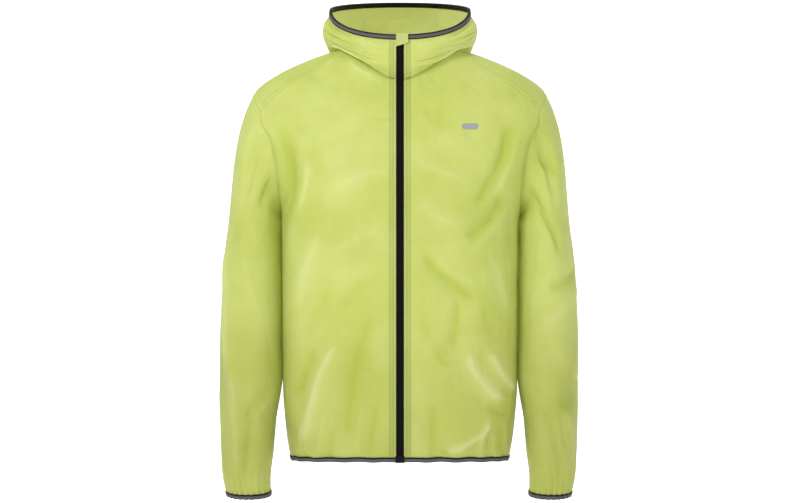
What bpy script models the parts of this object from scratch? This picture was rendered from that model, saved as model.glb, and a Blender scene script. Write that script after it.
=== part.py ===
"""A light hooded rain jacket in the hollow form it has when worn.

The frame is in metres with +Z up. The wearer faces -Y, and left and right are the wearer's,
so the left side is at +X. The origin lies between the shoulders, level with the shoulder line.
Sizes below are in millimetres, and angles in degrees.

The body and the hood are each one smooth skin. A turn of 0 is the front centre, 90 the wearer's
left side and 180 the back centre; a level climbs from the hem to the neck, or from the neck to
the hood's rim. Every panel is a piece of such a skin with a wall of its own.
"""

import bmesh
import bpy
import numpy as np

MM = 0.001
CLOTH = 1.2  # wall of the cloth
SEAM = 0.3  # gap between pieces where they are sewn
SEAM_RADIUS = 140  # how far the seams that run up the jacket are from its axis, about
ZIP_HALF = 6.5  # from the zip's middle to the edge of a front

# Rings of the body, from the hem up. A ring's depth and height are given at its side, its
# front and its back; the powers say how fast the height changes between them.
RING_COLUMNS = (
    "level", "half_width", "z_side", "y_front", "z_front", "front_power",
    "y_back", "z_back", "back_power", "squareness",
)
BODY = np.array([
    (0, 181, -681.5, 113, -678.5, 2.0, 118, -681, 2.0, 2.5),
    (27, 187, -655, 121, -653, 2.0, 125, -655, 2.0, 2.5),
    (82, 194, -600, 131, -598, 2.0, 131, -600, 2.0, 2.45),
    (202, 197.5, -480, 135, -480, 2.0, 129, -480, 2.0, 2.4),
    (332, 198.5, -350, 138, -355, 2.0, 129, -350, 2.0, 2.4),
    (410, 201, -272, 139, -285, 2.0, 134, -275, 2.0, 2.5),
    (480, 220, -190, 137, -242, 1.8, 137, -212, 1.8, 2.6),
    (550, 236, -110, 133, -205, 1.7, 134, -160, 1.7, 2.8),
    (620, 243, -66, 124, -160, 1.5, 124, -110, 1.5, 3.0),
    (680, 200, -34, 101, -92, 2.5, 106, -55, 2.0, 2.5),
    (730, 155, -13, 88, -68, 2.2, 91, -22, 2.0, 2.4),
    (785, 108, 3, 76, -48, 6.0, 74, 4, 3.0, 2.2),
])
UNDERARM = 410  # level of the armhole's lowest point
ARM_MIDDLE = 550
SHOULDER_TIP = 620
NECK = 785
ARMHOLE_REACH = 33  # how far in turn the armhole goes to each side of the side line

# The shoulder seam lies on the front, forward of the shoulder's ridge.
SHOULDER_SEAM_COLUMNS = ("level", "turn")
SHOULDER_SEAM = np.array([(620, 61.4), (680, 55.5), (730, 56.5), (785, 60)])

# Rings of the hood, from the neck to the rim, with the same columns.
HOOD = np.array([
    (0, 108, 3, 76, -48, 6.0, 74, 4, 3.0, 2.2),
    (15, 116, 8, 83, -40, 5.0, 89, 6, 3.0, 2.2),
    (45, 123, 14, 87, -33, 4.2, 114, -36, 3.4, 2.2),
    (85, 127, 20, 89, -26, 3.4, 138, -96, 2.8, 2.2),
    (125, 129, 27, 90, -19, 2.7, 172, -130, 2.2, 2.2),
    (165, 130, 34, 90, -13, 2.2, 204, -110, 1.9, 2.2),
    (205, 129.5, 41, 90, -7, 1.8, 221, -62, 1.8, 2.2),
    (250, 128, 48, 90, -2, 1.6, 221, -8, 1.8, 2.2),
    (295, 125, 54, 89.5, 4, 1.4, 205, 40, 1.7, 2.2),
    (330, 121, 60, 89, 10, 1.2, 172, 72, 1.3, 2.2),
    (350, 118.6, 64.5, 88, 15.3, 1.1, 148, 88.5, 1.05, 2.2),
    (360, 117, 73, 87, 24, 1.05, 140.5, 95, 1.0, 2.2),
])
HOOD_RIM = 360

# Rings of a sleeve below the underarm. The sleeve bends forward at the elbow.
SLEEVE_COLUMNS = ("z", "centre_x", "half_width", "centre_y", "half_depth")
SLEEVE = np.array([
    (-300, 246, 43, 4, 80),
    (-350, 248.5, 47, 3, 80),
    (-415, 250.5, 49, 0, 78),
    (-482, 251.5, 50.2, -5, 75),
    (-549, 251, 50, -13, 70),
    (-617, 253.5, 46, -22, 63),
    (-667, 254.5, 43, -28, 57),
    (-709, 255, 39, -33, 50),
    (-738, 251, 35.5, -36, 43),
])
SLEEVE_ROUND = 2.2
SLEEVE_HEAD_SHARES = (0, 0.08, 0.2, 0.35, 0.52, 0.7, 0.86)
# The way a sleeve's head leaves the armhole: into the hole, straight on, and outwards, with
# more outwards under the arm.
HEAD_INTO, HEAD_STRAIGHT, HEAD_OUT, HEAD_OUT_UNDER = 0.35, 0.65, 0.22, 0.5
SLEEVE_STEPS = (
    -300, -325, -350, -378, -406, -434, -462, -490, -518, -546, -574, -602,
    -628, -652, -674, -694, -711, -728.5, -738,
)
SLEEVE_WIDER = {"left": -2.5, "right": 1.0}  # the two sleeves hang a little differently
CUFF_DIP = 5  # how much lower the front of the cuff is
CUFF_DIP_FROM = -640  # the height below which the dip grows

# Folds, in a front view: from one end to the other, bowed sideways, with the spread to each
# side and a height that is positive for a ridge and negative for a trough.
FOLD_COLUMNS = ("x0", "z0", "x1", "z1", "bow", "spread", "height")
FOLD_END = 0.14  # share of a fold's length over which it fades in at each end
FRONT_FOLDS = (
    (-106, -489, -156, -645, 8, 15, 4.5),
    (-144, -495, -170, -565, 0, 14, -4.0),
    (-49, -450, -84, -628, 8, 18, -4.0),
    (-39, -585, -50, -665, 0, 13, -2.5),
    (-196, -130, -194, -272, -16, 15, -6.5),
    (-160, -170, -172, -262, -4, 15, 3.0),
    (186, -120, 130, -255, -10, 16, -5.5),
    (172, -240, 112, -310, -6, 15, -4.5),
    (40, -340, 125, -412, 6, 15, -3.5),
    (98, -415, 86, -490, 0, 13, -3.0),
    (110, -500, 168, -578, 4, 14, 4.0),
    (150, -500, 188, -560, 0, 13, 3.5),
    (150, -612, 76, -660, -8, 13, 4.0),
    (55, -585, 54, -672, 0, 14, -3.0),
    (-20, -150, -120, -196, 6, 22, 2.0),
    (60, -150, 150, -110, 6, 20, 2.0),
)
BACK_FOLDS = (
    (-170, -120, -60, -196, 10, 20, -4.0),
    (176, -130, 70, -210, -10, 20, -4.0),
    (-150, -250, -168, -420, 8, 18, 4.0),
    (148, -260, 172, -400, -6, 18, 4.5),
    (-20, -420, -120, -520, -10, 18, -3.5),
    (30, -450, 140, -540, 8, 18, -4.0),
    (-96, -540, -140, -655, 6, 15, 4.0),
    (84, -530, 136, -650, -6, 16, 4.5),
    (4, -560, -10, -665, 3, 17, -3.0),
    (-50, -60, 60, -72, -8, 18, -2.5),
)
# Sleeve folds, the same way: how far round from the outer side towards the front, in
# millimetres, and the height. The right sleeve has a table of its own.
ROUND_MM = 1.1  # millimetres round the sleeve for each degree
LEFT_SLEEVE_FOLDS = (
    (150, -150, 60, -200, 8, 13, -4.5),
    (150, -235, 70, -330, 10, 15, -5.0),
    (20, -365, 96, -392, 4, 13, -4.5),
    (24, -392, 110, -450, 6, 13, 3.5),
    (14, -548, 80, -590, 4, 13, -4.0),
    (70, -596, 46, -668, 6, 13, 3.5),
    (120, -590, 84, -700, 6, 13, -3.5),
    (-30, -240, -110, -330, 8, 16, -4.0),
    (-20, -420, -120, -470, 6, 15, -4.5),
    (-60, -560, -90, -680, 6, 14, 3.5),
)
RIGHT_SLEEVE_FOLDS = (
    (140, -120, 120, -260, -10, 15, -4.5),
    (40, -325, 56, -520, 6, 14, 5.0),
    (20, -380, 30, -560, 4, 14, -4.0),
    (150, -560, 96, -606, 4, 13, -4.5),
    (60, -530, 74, -690, -6, 14, 4.0),
    (110, -610, 96, -700, 4, 13, -3.0),
    (-30, -220, -120, -320, 8, 16, -4.5),
    (-16, -430, -110, -500, 6, 15, -4.0),
    (-70, -580, -80, -690, -6, 14, 3.5),
)

FLAT_FADE = 60  # along the body, folds fade in over this below the neck and at the underarm
SIDE_FLAT, SIDE_FADE = 3, 22  # beside a side seam, in turn, folds are flat and then fade in
ZIP_FADE = 25  # beside the zip tapes they fade in over this
FOLD_FREE = 150  # degrees from the outer side beyond which a sleeve has no folds
FOLD_FREE_FADE = 35

# Gathers along the elastic edges: waves on a quarter of the body and round a sleeve.
HEM_WAVES_FRONT = 6
HEM_WAVES_BACK = 5
HEM_GATHER = 1.6
HEM_GATHER_UP = 34  # how far up it fades out, above the binding
CUFF_GATHER = 1.3
CUFF_GATHER_UP = 24
CALM_FROM, CALM_FADE, CALM_LEAST = 165, 20, 0.3  # a cuff is less gathered at its inner side
EDGE_BAND = 9  # beside an elastic edge, where the gathers keep their height

# How finely the skins are divided.
BODY_STEPS = (0, 8.5, 24, 48, 78, 108, 138, 168, 200, 232, 264, 296, 328, 356, 380, 398)
ARMHOLE_STEP = 15  # degrees of the armhole's curve between two rows
SHOULDER_STEPS = (650, 680, 707, 732, 758, 785)
HOOD_STEPS = (0.5, 16, 40, 68, 100, 132, 164, 196, 230, 264, 298, 326, 350.5, 360)
FRONT_COLUMNS = 12
BACK_COLUMNS = 20
SHOULDER_COLUMNS = 4
HOOD_BACK_COLUMNS = 5  # of the back's columns, those that a hood side takes
HOOD_EASE = 0.6  # how far the hood's columns spread evenly above its first part
HOOD_EASE_UP = 160

# Folded elastic bindings.
BINDING_WIDE = 7.5  # how far a leg comes up over the cloth
BINDING_LIFT = 0.4  # gap between a leg and the cloth
BINDING_WALL = 1.0
HOOD_BINDING_WIDE = 8.0

# The zip.
TAPE_HALF = 18
TAPE_BEHIND = CLOTH + SEAM
TAPE_WALL = 1.0
TAPE_MIDDLE_GAP = 0.2
TAPE_BOTTOM = 9.5  # level
TAPE_TOP = 348  # level on the hood
BOX_HALF = 4.8
BOX_LEVELS = (-2.0, 9.0)
BOX_FRONT = 1.8
SLIDER_HALF = 4.4
SLIDER_LEVELS = (334, 356)
SLIDER_FRONT = 2.2
GARAGE_X = (-6.4, 13.1)
GARAGE_DROP = (20.0, 13.5)  # how far it comes down the zip at its two ends
GARAGE_INSIDE_DROP = 9.0
GARAGE_LIFT = 2.6
GARAGE_WALL = 1.2

COLOURS = {  # linear red, green, blue, then roughness
    "shell_cloth": (0.62, 0.70, 0.16, 0.55),
    "edge_elastic": (0.22, 0.23, 0.24, 0.60),
    "zip_tape": (0.012, 0.012, 0.014, 0.70),
    "zip_plastic": (0.010, 0.010, 0.012, 0.40),
}


def smooth_rows(table, at, columns):
    """A table's columns by name, at the given values of its first, on a smooth curve."""
    knots, rows = table[:, 0], table[:, 1:]
    slopes = np.gradient(rows, knots, axis=0)
    at = np.asarray(at, float)
    i = np.clip(np.searchsorted(knots, at, side="right") - 1, 0, len(knots) - 2)
    step = (knots[i + 1] - knots[i])[..., None]
    t = (at - knots[i])[..., None] / step
    values = curve_between(rows[i], rows[i + 1], step * slopes[i], step * slopes[i + 1], t)
    return dict(zip(columns[1:], np.moveaxis(values, -1, 0)))


def curve_between(start, end, leave, arrive, t):
    """A point at share t of the smooth curve that leaves and arrives in given directions."""
    return (
        (2 * t**3 - 3 * t**2 + 1) * start
        + (t**3 - 2 * t**2 + t) * leave
        + (3 * t**2 - 2 * t**3) * end
        + (t**3 - t**2) * arrive
    )


def ring_skin(table, turn, level):
    """Points of the plain skin through a table's rings."""
    turn, level = np.broadcast_arrays(np.radians(turn), np.asarray(level, float))
    ring = smooth_rows(table, level, RING_COLUMNS)
    s, c = np.sin(turn), np.cos(turn)
    reach = squared_reach(s, c, ring["squareness"])
    share = reach * np.abs(c)
    ahead = c > 0
    y = np.where(ahead, -ring["y_front"], ring["y_back"]) * share
    z_end = np.where(ahead, ring["z_front"], ring["z_back"])
    power = np.where(ahead, ring["front_power"], ring["back_power"])
    z = ring["z_side"] + (z_end - ring["z_side"]) * share**power
    return np.stack([ring["half_width"] * reach * s, y, z], axis=-1)


def squared_reach(s, c, squareness):
    """How far a rounded square of half-width 1 reaches in a direction; 2 is a circle."""
    return (np.abs(s) ** squareness + np.abs(c) ** squareness) ** (-1 / squareness)


def unit(v):
    return v / np.maximum(np.linalg.norm(v, axis=-1, keepdims=True), 1e-9)


def outward(skin, turn, level):
    """Unit normals of a skin, from close neighbours."""
    across = skin(turn + 0.2, level) - skin(turn - 0.2, level)
    up = skin(turn, level + 0.5) - skin(turn, level - 0.5)
    return unit(np.cross(across, up))


def fold_height(x, z, folds):
    """How far folds raise the cloth at points of a view."""
    height = np.zeros(np.shape(x))
    for row in folds:
        fold = dict(zip(FOLD_COLUMNS, row))
        run_x, run_z = fold["x1"] - fold["x0"], fold["z1"] - fold["z0"]
        from_x, from_z = x - fold["x0"], z - fold["z0"]
        length = np.hypot(run_x, run_z)
        along = (from_x * run_x + from_z * run_z) / length**2
        side = (from_x * run_z - from_z * run_x) / length - fold["bow"] * 4 * along * (1 - along)
        fade = np.clip((0.5 + FOLD_END - np.abs(along - 0.5)) / (2 * FOLD_END), 0, 1)
        fade = fade * fade * (3 - 2 * fade)
        height += fold["height"] * np.exp(-((side / fold["spread"]) ** 2)) * fade
    return height


def body_relief(turn, level):
    """Height of the folds and of the hem's gathers on the body."""
    x, _, z = np.moveaxis(ring_skin(BODY, turn, level), -1, 0)
    round_turn = np.abs((turn + 180) % 360 - 180)
    ahead = round_turn < 90
    height = np.where(ahead, fold_height(x, z, FRONT_FOLDS), fold_height(x, z, BACK_FOLDS))
    below = np.clip((UNDERARM + 20 - level) / FLAT_FADE, 0, 1)
    near_side = np.clip((np.abs(round_turn - 90) - SIDE_FLAT) / SIDE_FADE, 0, 1)
    zip_side = np.clip((np.abs(x) - TAPE_HALF - 1) / ZIP_FADE, 0, 1)
    seam_line = np.clip((NECK - level) / FLAT_FADE, 0, 1)
    height = height * (1 - below * (1 - near_side)) * zip_side * seam_line
    first = np.degrees(np.arcsin((TAPE_HALF + 1) / BODY[0, 1]))
    front_wave = (HEM_WAVES_FRONT - 0.5) * (90 - round_turn) / (90 - first)
    back_wave = HEM_WAVES_BACK * (round_turn - 90) / 90
    wave = np.cos(2 * np.pi * np.where(ahead, front_wave, back_wave))
    uneven = 1 + 0.4 * np.sin(np.radians(3 * turn) + 1)
    above = np.maximum(level - EDGE_BAND, 0)
    gather = HEM_GATHER * uneven * wave * np.exp(-above / HEM_GATHER_UP)
    return height + gather * zip_side


def body_skin(turn, level):
    """Points of the body's outer face, folds and all."""
    turn, level = np.broadcast_arrays(np.asarray(turn, float), np.asarray(level, float))

    def plain(t, h):
        return ring_skin(BODY, t, h)

    lift = body_relief(turn, level)[..., None]
    return plain(turn, level) + lift * outward(plain, turn, level)


def hood_skin(turn, level):
    """Points of the hood's outer face."""
    return ring_skin(HOOD, turn, level)


def zip_turn(skin, level, x):
    """The turn at which a skin's front is x from the middle."""
    low, high = np.zeros(np.shape(level)), np.full(np.shape(level), 40.0)
    for _ in range(40):
        middle = (low + high) / 2
        beyond = skin(middle, level)[..., 0] > x
        high = np.where(beyond, middle, high)
        low = np.where(beyond, low, middle)
    return (low + high) / 2


def armhole_turn(level):
    """How far the armhole's edge is from the side line, in turn, at a level."""
    share = (level - ARM_MIDDLE) / (ARM_MIDDLE - UNDERARM)
    return ARMHOLE_REACH * np.sqrt(np.maximum(1 - share**2, 0))


def body_levels():
    """Levels of the body's rows: to the underarm, along the armhole, and over the shoulder."""
    turns = np.radians(np.arange(0, 120 + ARMHOLE_STEP, ARMHOLE_STEP))
    arm = ARM_MIDDLE - (ARM_MIDDLE - UNDERARM) * np.cos(turns)
    return np.concatenate([BODY_STEPS, arm, SHOULDER_STEPS])


def front_edge(level):
    """The turn of a front's outer edge: side seam, armhole, then shoulder seam."""
    over = np.maximum(level, SHOULDER_TIP)
    seam = smooth_rows(SHOULDER_SEAM, over, SHOULDER_SEAM_COLUMNS)["turn"]
    arm = 90 - armhole_turn(np.clip(level, UNDERARM, SHOULDER_TIP))
    return np.where(level > SHOULDER_TIP, seam, arm)


def nudge(level):
    """Half a seam's gap as a turn, at each level."""
    return np.full(np.shape(level), np.degrees(SEAM / 2 / SEAM_RADIUS))


def make_material(name):
    red, green, blue, rough = COLOURS[name]
    material = bpy.data.materials.new(name)
    material.use_nodes = True
    shader = material.node_tree.nodes["Principled BSDF"]
    shader.inputs["Base Color"].default_value = (red, green, blue, 1)
    shader.inputs["Roughness"].default_value = rough
    shader.inputs["Metallic"].default_value = 0
    return material


def make_piece(name, points, faces, material):
    """An object from points in millimetres, with its faces turned outwards."""
    mesh = bpy.data.meshes.new(name)
    mesh.from_pydata([tuple(p) for p in np.asarray(points) * MM], [], faces)
    work = bmesh.new()
    work.from_mesh(mesh)
    bmesh.ops.recalc_face_normals(work, faces=work.faces)
    work.to_mesh(mesh)
    work.free()
    mesh.materials.append(material)
    mesh.shade_smooth()
    mesh.set_sharp_from_angle(angle=np.radians(40))
    piece = bpy.data.objects.new(name, mesh)
    bpy.context.scene.collection.objects.link(piece)
    return piece


def make_wall(name, outer, normals, faces, material, wall=CLOTH):
    """A closed wall of cloth behind an outer face, with its edges closed."""
    count = len(outer)
    inner = outer - wall * normals
    edges = {}
    for face in faces:
        for a, b in zip(face, face[1:] + face[:1]):
            edges[(a, b)] = True
    rims = [(b, a, a + count, b + count) for a, b in edges if (b, a) not in edges]
    inside = [tuple(face[i] + count for i in (0, 3, 2, 1)) for face in faces]
    return make_piece(name, np.concatenate([outer, inner]), faces + inside + rims, material)


def grid_faces(rows, columns, closed=False):
    """Faces between the points of a grid whose rows climb and whose columns go round."""
    last = columns if closed else columns - 1
    faces = []
    for r in range(rows - 1):
        for c in range(last):
            d = (c + 1) % columns
            low, high = r * columns, (r + 1) * columns
            faces.append((low + c, low + d, high + d, high + c))
    return faces


def make_front(side, material):
    """One front. Returns its points as rows of columns from the zip outwards."""
    sign = 1 if side == "left" else -1
    level = body_levels()
    start = zip_turn(body_skin, level, ZIP_HALF)
    end = front_edge(level) - nudge(level)
    beside = zip_turn(body_skin, level, TAPE_HALF + 1)[:, None]
    share = np.linspace(0, 1, FRONT_COLUMNS)
    turn = np.hstack([start[:, None], beside + (end[:, None] - beside) * share]) * sign
    levels = np.broadcast_to(level[:, None], turn.shape)
    points = body_skin(turn, levels)
    normals = outward(body_skin, turn, levels)
    faces = grid_faces(*turn.shape)
    make_wall(
        f"front_{side}", points.reshape(-1, 3), normals.reshape(-1, 3), faces, material
    )
    return {"points": points, "normals": normals, "level": level, "turn": turn}


def make_back(material):
    """The back, which spreads over both shoulders above the armholes."""
    level = body_levels()
    tip = int(np.searchsorted(level, SHOULDER_TIP - 0.1))
    edge = 90 + armhole_turn(np.clip(level, UNDERARM, SHOULDER_TIP)) + nudge(level)
    seam = front_edge(level) + nudge(level)
    main = edge[:, None] + (360 - 2 * edge)[:, None] * np.linspace(0, 1, BACK_COLUMNS + 1)
    over = seam[:, None] + (edge - seam)[:, None] * np.arange(SHOULDER_COLUMNS) / SHOULDER_COLUMNS
    turn = np.concatenate([over, main, 360 - over[:, ::-1]], axis=1)
    levels = np.broadcast_to(level[:, None], turn.shape)
    points = body_skin(turn, levels)
    normals = outward(body_skin, turn, levels)
    used, faces = {}, []
    columns = turn.shape[1]
    for r in range(len(level) - 1):
        for c in range(columns - 1):
            is_main = SHOULDER_COLUMNS <= c < columns - 1 - SHOULDER_COLUMNS
            if r < tip and not is_main:
                continue
            corners = ((r, c), (r, c + 1), (r + 1, c + 1), (r + 1, c))
            faces.append(tuple(used.setdefault(k, len(used)) for k in corners))
    where = list(used)
    outer = np.array([points[k] for k in where])
    out = np.array([normals[k] for k in where])
    make_wall("back", outer, out, faces, material)
    return {"points": points, "normals": normals, "level": level, "turn": turn, "tip": tip}


def armhole_loop(back, side):
    """The armhole's edge from the underarm up the front, over the tip and down the back:
    points, normals, and directions along the skin into the hole."""
    level = back["level"]
    tip = back["tip"]
    low = int(np.searchsorted(level, UNDERARM - 0.1))
    rise = np.arange(low + 1, tip)
    sign = 1 if side == "left" else -1
    turns, levels = [90.0], [level[low]]
    for r in rise:
        turns.append(90 - armhole_turn(level[r]))
        levels.append(level[r])
    over = back["turn"][tip, : SHOULDER_COLUMNS + 1]
    turns.extend(over)
    levels.extend([level[tip]] * len(over))
    for r in rise[::-1]:
        turns.append(90 + armhole_turn(level[r]))
        levels.append(level[r])
    turns, levels = sign * np.array(turns), np.array(levels)
    points = body_skin(turns, levels)
    normals = outward(body_skin, turns, levels)
    ahead = np.roll(points, -1, axis=0) - np.roll(points, 1, axis=0)
    into = unit(np.cross(ahead, normals)) * sign
    return points, normals, into


def sleeve_ring(z, round_deg, sign):
    """Points of a sleeve's ring below the underarm."""
    ring = smooth_rows(SLEEVE[::-1], z, SLEEVE_COLUMNS)
    s, c = np.sin(np.radians(round_deg)), np.cos(np.radians(round_deg))
    reach = squared_reach(s, c, SLEEVE_ROUND)
    extra = SLEEVE_WIDER["left" if sign > 0 else "right"] * np.clip(c, 0, 1)
    x = ring["centre_x"] + ring["half_width"] * reach * c + extra
    y = ring["centre_y"] - ring["half_depth"] * reach * s
    dip = CUFF_DIP * np.clip((CUFF_DIP_FROM - z) / (CUFF_DIP_FROM - SLEEVE[-1, 0]), 0, 1)
    return np.stack([sign * x, y, z - dip * reach * s], axis=-1)


def make_sleeve(side, loop, material):
    """One sleeve, from the armhole to the cuff. Returns its last ring and its normals."""
    sign = 1 if side == "left" else -1
    base, base_normals, into = loop
    count = len(base)
    top = count // 2
    steps = np.linalg.norm(np.roll(base, -1, axis=0) - base, axis=1)
    along = np.concatenate([[0], np.cumsum(steps)])
    front_len, whole = along[top], along[-1]
    at = along[:-1]
    round_deg = np.where(
        at <= front_len,
        180 * (1 - at / front_len),
        -180 * (at - front_len) / (whole - front_len),
    )
    start = base + SEAM * into
    first = sleeve_ring(np.full(count, float(SLEEVE_STEPS[0])), round_deg, sign)
    after = sleeve_ring(np.full(count, SLEEVE_STEPS[0] - 12.0), round_deg, sign)
    chord = first - start
    length = np.linalg.norm(chord, axis=1, keepdims=True)
    under = np.clip(-np.cos(np.radians(round_deg)), 0, 1)[:, None] ** 2
    out = (HEAD_OUT + HEAD_OUT_UNDER * under) * base_normals
    leave = unit(HEAD_INTO * into + HEAD_STRAIGHT * unit(chord) + out)
    arrive = unit(after - first)
    rings = []
    for share in SLEEVE_HEAD_SHARES:
        rings.append(curve_between(start, first, length * leave, length * arrive, share))
    for z in SLEEVE_STEPS:
        rings.append(sleeve_ring(np.full(count, float(z)), round_deg, sign))
    points = np.array(rings)
    normals = ring_normals(points, sign)
    folds = LEFT_SLEEVE_FOLDS if side == "left" else RIGHT_SLEEVE_FOLDS
    z_plain = points[..., 2]
    lift = fold_height(np.broadcast_to(round_deg * ROUND_MM, z_plain.shape), z_plain, folds)
    clear = np.clip((FOLD_FREE - np.abs(round_deg)) / FOLD_FREE_FADE, 0, 1)
    lift = lift * clear * np.clip(np.arange(len(points)) / 3, 0, 1)[:, None]
    up = np.maximum(z_plain - z_plain[-1] - EDGE_BAND, 0)
    wave = np.cos(np.pi * np.arange(count))
    calm = np.clip((CALM_FROM - np.abs(round_deg)) / CALM_FADE, CALM_LEAST, 1)
    lift = lift + CUFF_GATHER * wave * calm * np.exp(-up / CUFF_GATHER_UP)
    points = points + lift[..., None] * normals
    normals = ring_normals(points, sign)
    normals[0] = unit(base_normals + under * normals[0])
    faces = grid_faces(len(points), count, closed=True)
    make_wall(
        f"sleeve_{side}", points.reshape(-1, 3), normals.reshape(-1, 3), faces, material
    )
    return points, normals


def ring_normals(points, sign):
    """Outward normals of closed rings that run down a sleeve."""
    across = np.roll(points, -1, axis=1) - np.roll(points, 1, axis=1)
    down = np.gradient(points, axis=0)
    return unit(np.cross(down, across)) * sign


def hood_turns(level, front_turn, back_turn):
    """Turns of the hood's columns at its levels: those of the body's neck edge from the zip
    to the back centre, and more evenly spread towards the rim."""
    neck = np.concatenate([front_turn[:-1], back_turn[: SHOULDER_COLUMNS + BACK_COLUMNS // 2 + 1]])
    even = np.linspace(neck[0], 180, len(neck))
    ease = HOOD_EASE * np.clip(level / HOOD_EASE_UP, 0, 1)[:, None]
    turn = neck + (even - neck) * ease
    turn[:, 0] = zip_turn(hood_skin, level, ZIP_HALF)
    turn[:, 1] = zip_turn(hood_skin, level, TAPE_HALF + 1)
    return turn


def make_hood(front, back, material):
    """The two hood sides and the centre strip. Returns the turns along the rim."""
    level = np.array(HOOD_STEPS, float)
    half = hood_turns(level, front["turn"][-1], back["turn"][-1])
    seam = FRONT_COLUMNS + SHOULDER_COLUMNS + HOOD_BACK_COLUMNS
    side_turn = half[:, : seam + 1].copy()
    side_turn[:, -1] -= nudge(level)
    centre_half = half[:, seam:].copy()
    centre_half[:, 0] += nudge(level)
    centre_turn = np.concatenate([centre_half, 360 - centre_half[:, -2::-1]], axis=1)
    pieces = (
        ("hood_side_left", side_turn), ("hood_side_right", -side_turn),
        ("hood_centre", centre_turn),
    )
    for name, turn in pieces:
        levels = np.broadcast_to(level[:, None], turn.shape)
        points = hood_skin(turn, levels).reshape(-1, 3)
        normals = outward(hood_skin, turn, levels).reshape(-1, 3)
        make_wall(name, points, normals, grid_faces(*turn.shape), material)
    return np.concatenate([half[-1], 360 - half[-1, -2::-1]])


def make_wrap(name, edge, normals, off, material, outside, inside, closed=False,
              lift=BINDING_LIFT, wall=BINDING_WALL):
    """A strip folded over an edge of the cloth. off points away from the cloth; outside and
    inside say how far each leg comes back over it."""
    count = len(edge)
    outside = np.broadcast_to(np.asarray(outside, float), (count,))
    inside = np.broadcast_to(np.asarray(inside, float), (count,))
    front, behind, tip = lift, -CLOTH - lift, SEAM
    section = [
        (np.full(count, front), -outside),
        (np.full(count, front + wall), -outside),
        (np.full(count, front + wall), np.full(count, tip + wall)),
        (np.full(count, behind - wall), np.full(count, tip + wall)),
        (np.full(count, behind - wall), -inside),
        (np.full(count, behind), -inside),
        (np.full(count, behind), np.full(count, tip)),
        (np.full(count, front), np.full(count, tip)),
    ]
    rows = [edge + a[:, None] * normals + b[:, None] * off for a, b in section]
    points = np.stack(rows, axis=1).reshape(-1, 3)
    sides = len(section)
    faces = []
    for i in range(count if closed else count - 1):
        j = (i + 1) % count
        for k in range(sides):
            m = (k + 1) % sides
            faces.append((i * sides + k, i * sides + m, j * sides + m, j * sides + k))
    if not closed:
        for i in (0, count - 1):
            base = i * sides
            faces.append(tuple(base + k for k in (0, 1, 2, 7)))
            faces.append(tuple(base + k for k in (7, 2, 3, 6)))
            faces.append(tuple(base + k for k in (6, 3, 4, 5)))
    return make_piece(name, points, faces, material)


def skin_edge(skin, turn, level, next_level):
    """Points, normals and directions off the cloth along an edge at one level, where the
    cloth's next row lies at next_level."""
    level = np.broadcast_to(np.asarray(level, float), np.shape(turn))
    points = skin(turn, level)
    return points, outward(skin, turn, level), unit(points - skin(turn, 0 * level + next_level))


def make_tape(side, material):
    """One zip tape, behind the edge of its front and of the hood's stand."""
    sign = 1 if side == "left" else -1
    rows = []
    body = [h for h in body_levels() if h > TAPE_BOTTOM + 5]
    hood = [h for h in HOOD_STEPS if 5 < h < TAPE_TOP - 5] + [TAPE_TOP]
    for skin, levels in ((body_skin, [TAPE_BOTTOM] + body), (hood_skin, hood)):
        for level in levels:
            line = []
            for x in (TAPE_MIDDLE_GAP, ZIP_HALF + 3, TAPE_HALF):
                turn = sign * zip_turn(skin, np.array(float(level)), x)
                normal = outward(skin, turn, np.array(float(level)))
                if skin is body_skin and level == NECK:
                    above = outward(hood_skin, turn, np.array(2.0))
                    middle = unit(normal + above)
                    normal = middle / (middle @ above)
                line.append((skin(turn, np.array(float(level))), normal))
            rows.append(line)
    points = np.array([[p for p, _ in line] for line in rows])
    normals = np.array([[n for _, n in line] for line in rows])
    faces = grid_faces(len(rows), 3)
    outer = (points - TAPE_BEHIND * normals).reshape(-1, 3)
    make_wall(
        f"zip_tape_{side}", outer, normals.reshape(-1, 3), faces, material, TAPE_WALL
    )


def make_block(name, skin, half, levels, behind, front, material, pinch=1.0):
    """A small block that lies on the zip, between two depths."""
    points = []
    for level, wide in ((levels[0], half * pinch), (levels[1], half)):
        for x in (-wide, wide):
            turn = np.sign(x) * zip_turn(skin, np.array(float(level)), abs(x))
            place = skin(turn, np.array(float(level)))
            normal = outward(skin, np.array(0.0), np.array(float(level)))
            points.append(place + front * normal)
            points.append(place + behind * normal)
    faces = [(0, 2, 6, 4), (1, 5, 7, 3), (0, 1, 3, 2), (4, 6, 7, 5), (0, 4, 5, 1), (2, 3, 7, 6)]
    piece = make_piece(name, points, faces, material)
    bevel = piece.modifiers.new("rounded", "BEVEL")
    bevel.width = 0.5 * MM
    bevel.segments = 1
    bevel.limit_method = "ANGLE"
    return piece


def clear_scene():
    for old in list(bpy.data.objects):
        bpy.data.objects.remove(old, do_unlink=True)


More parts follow.
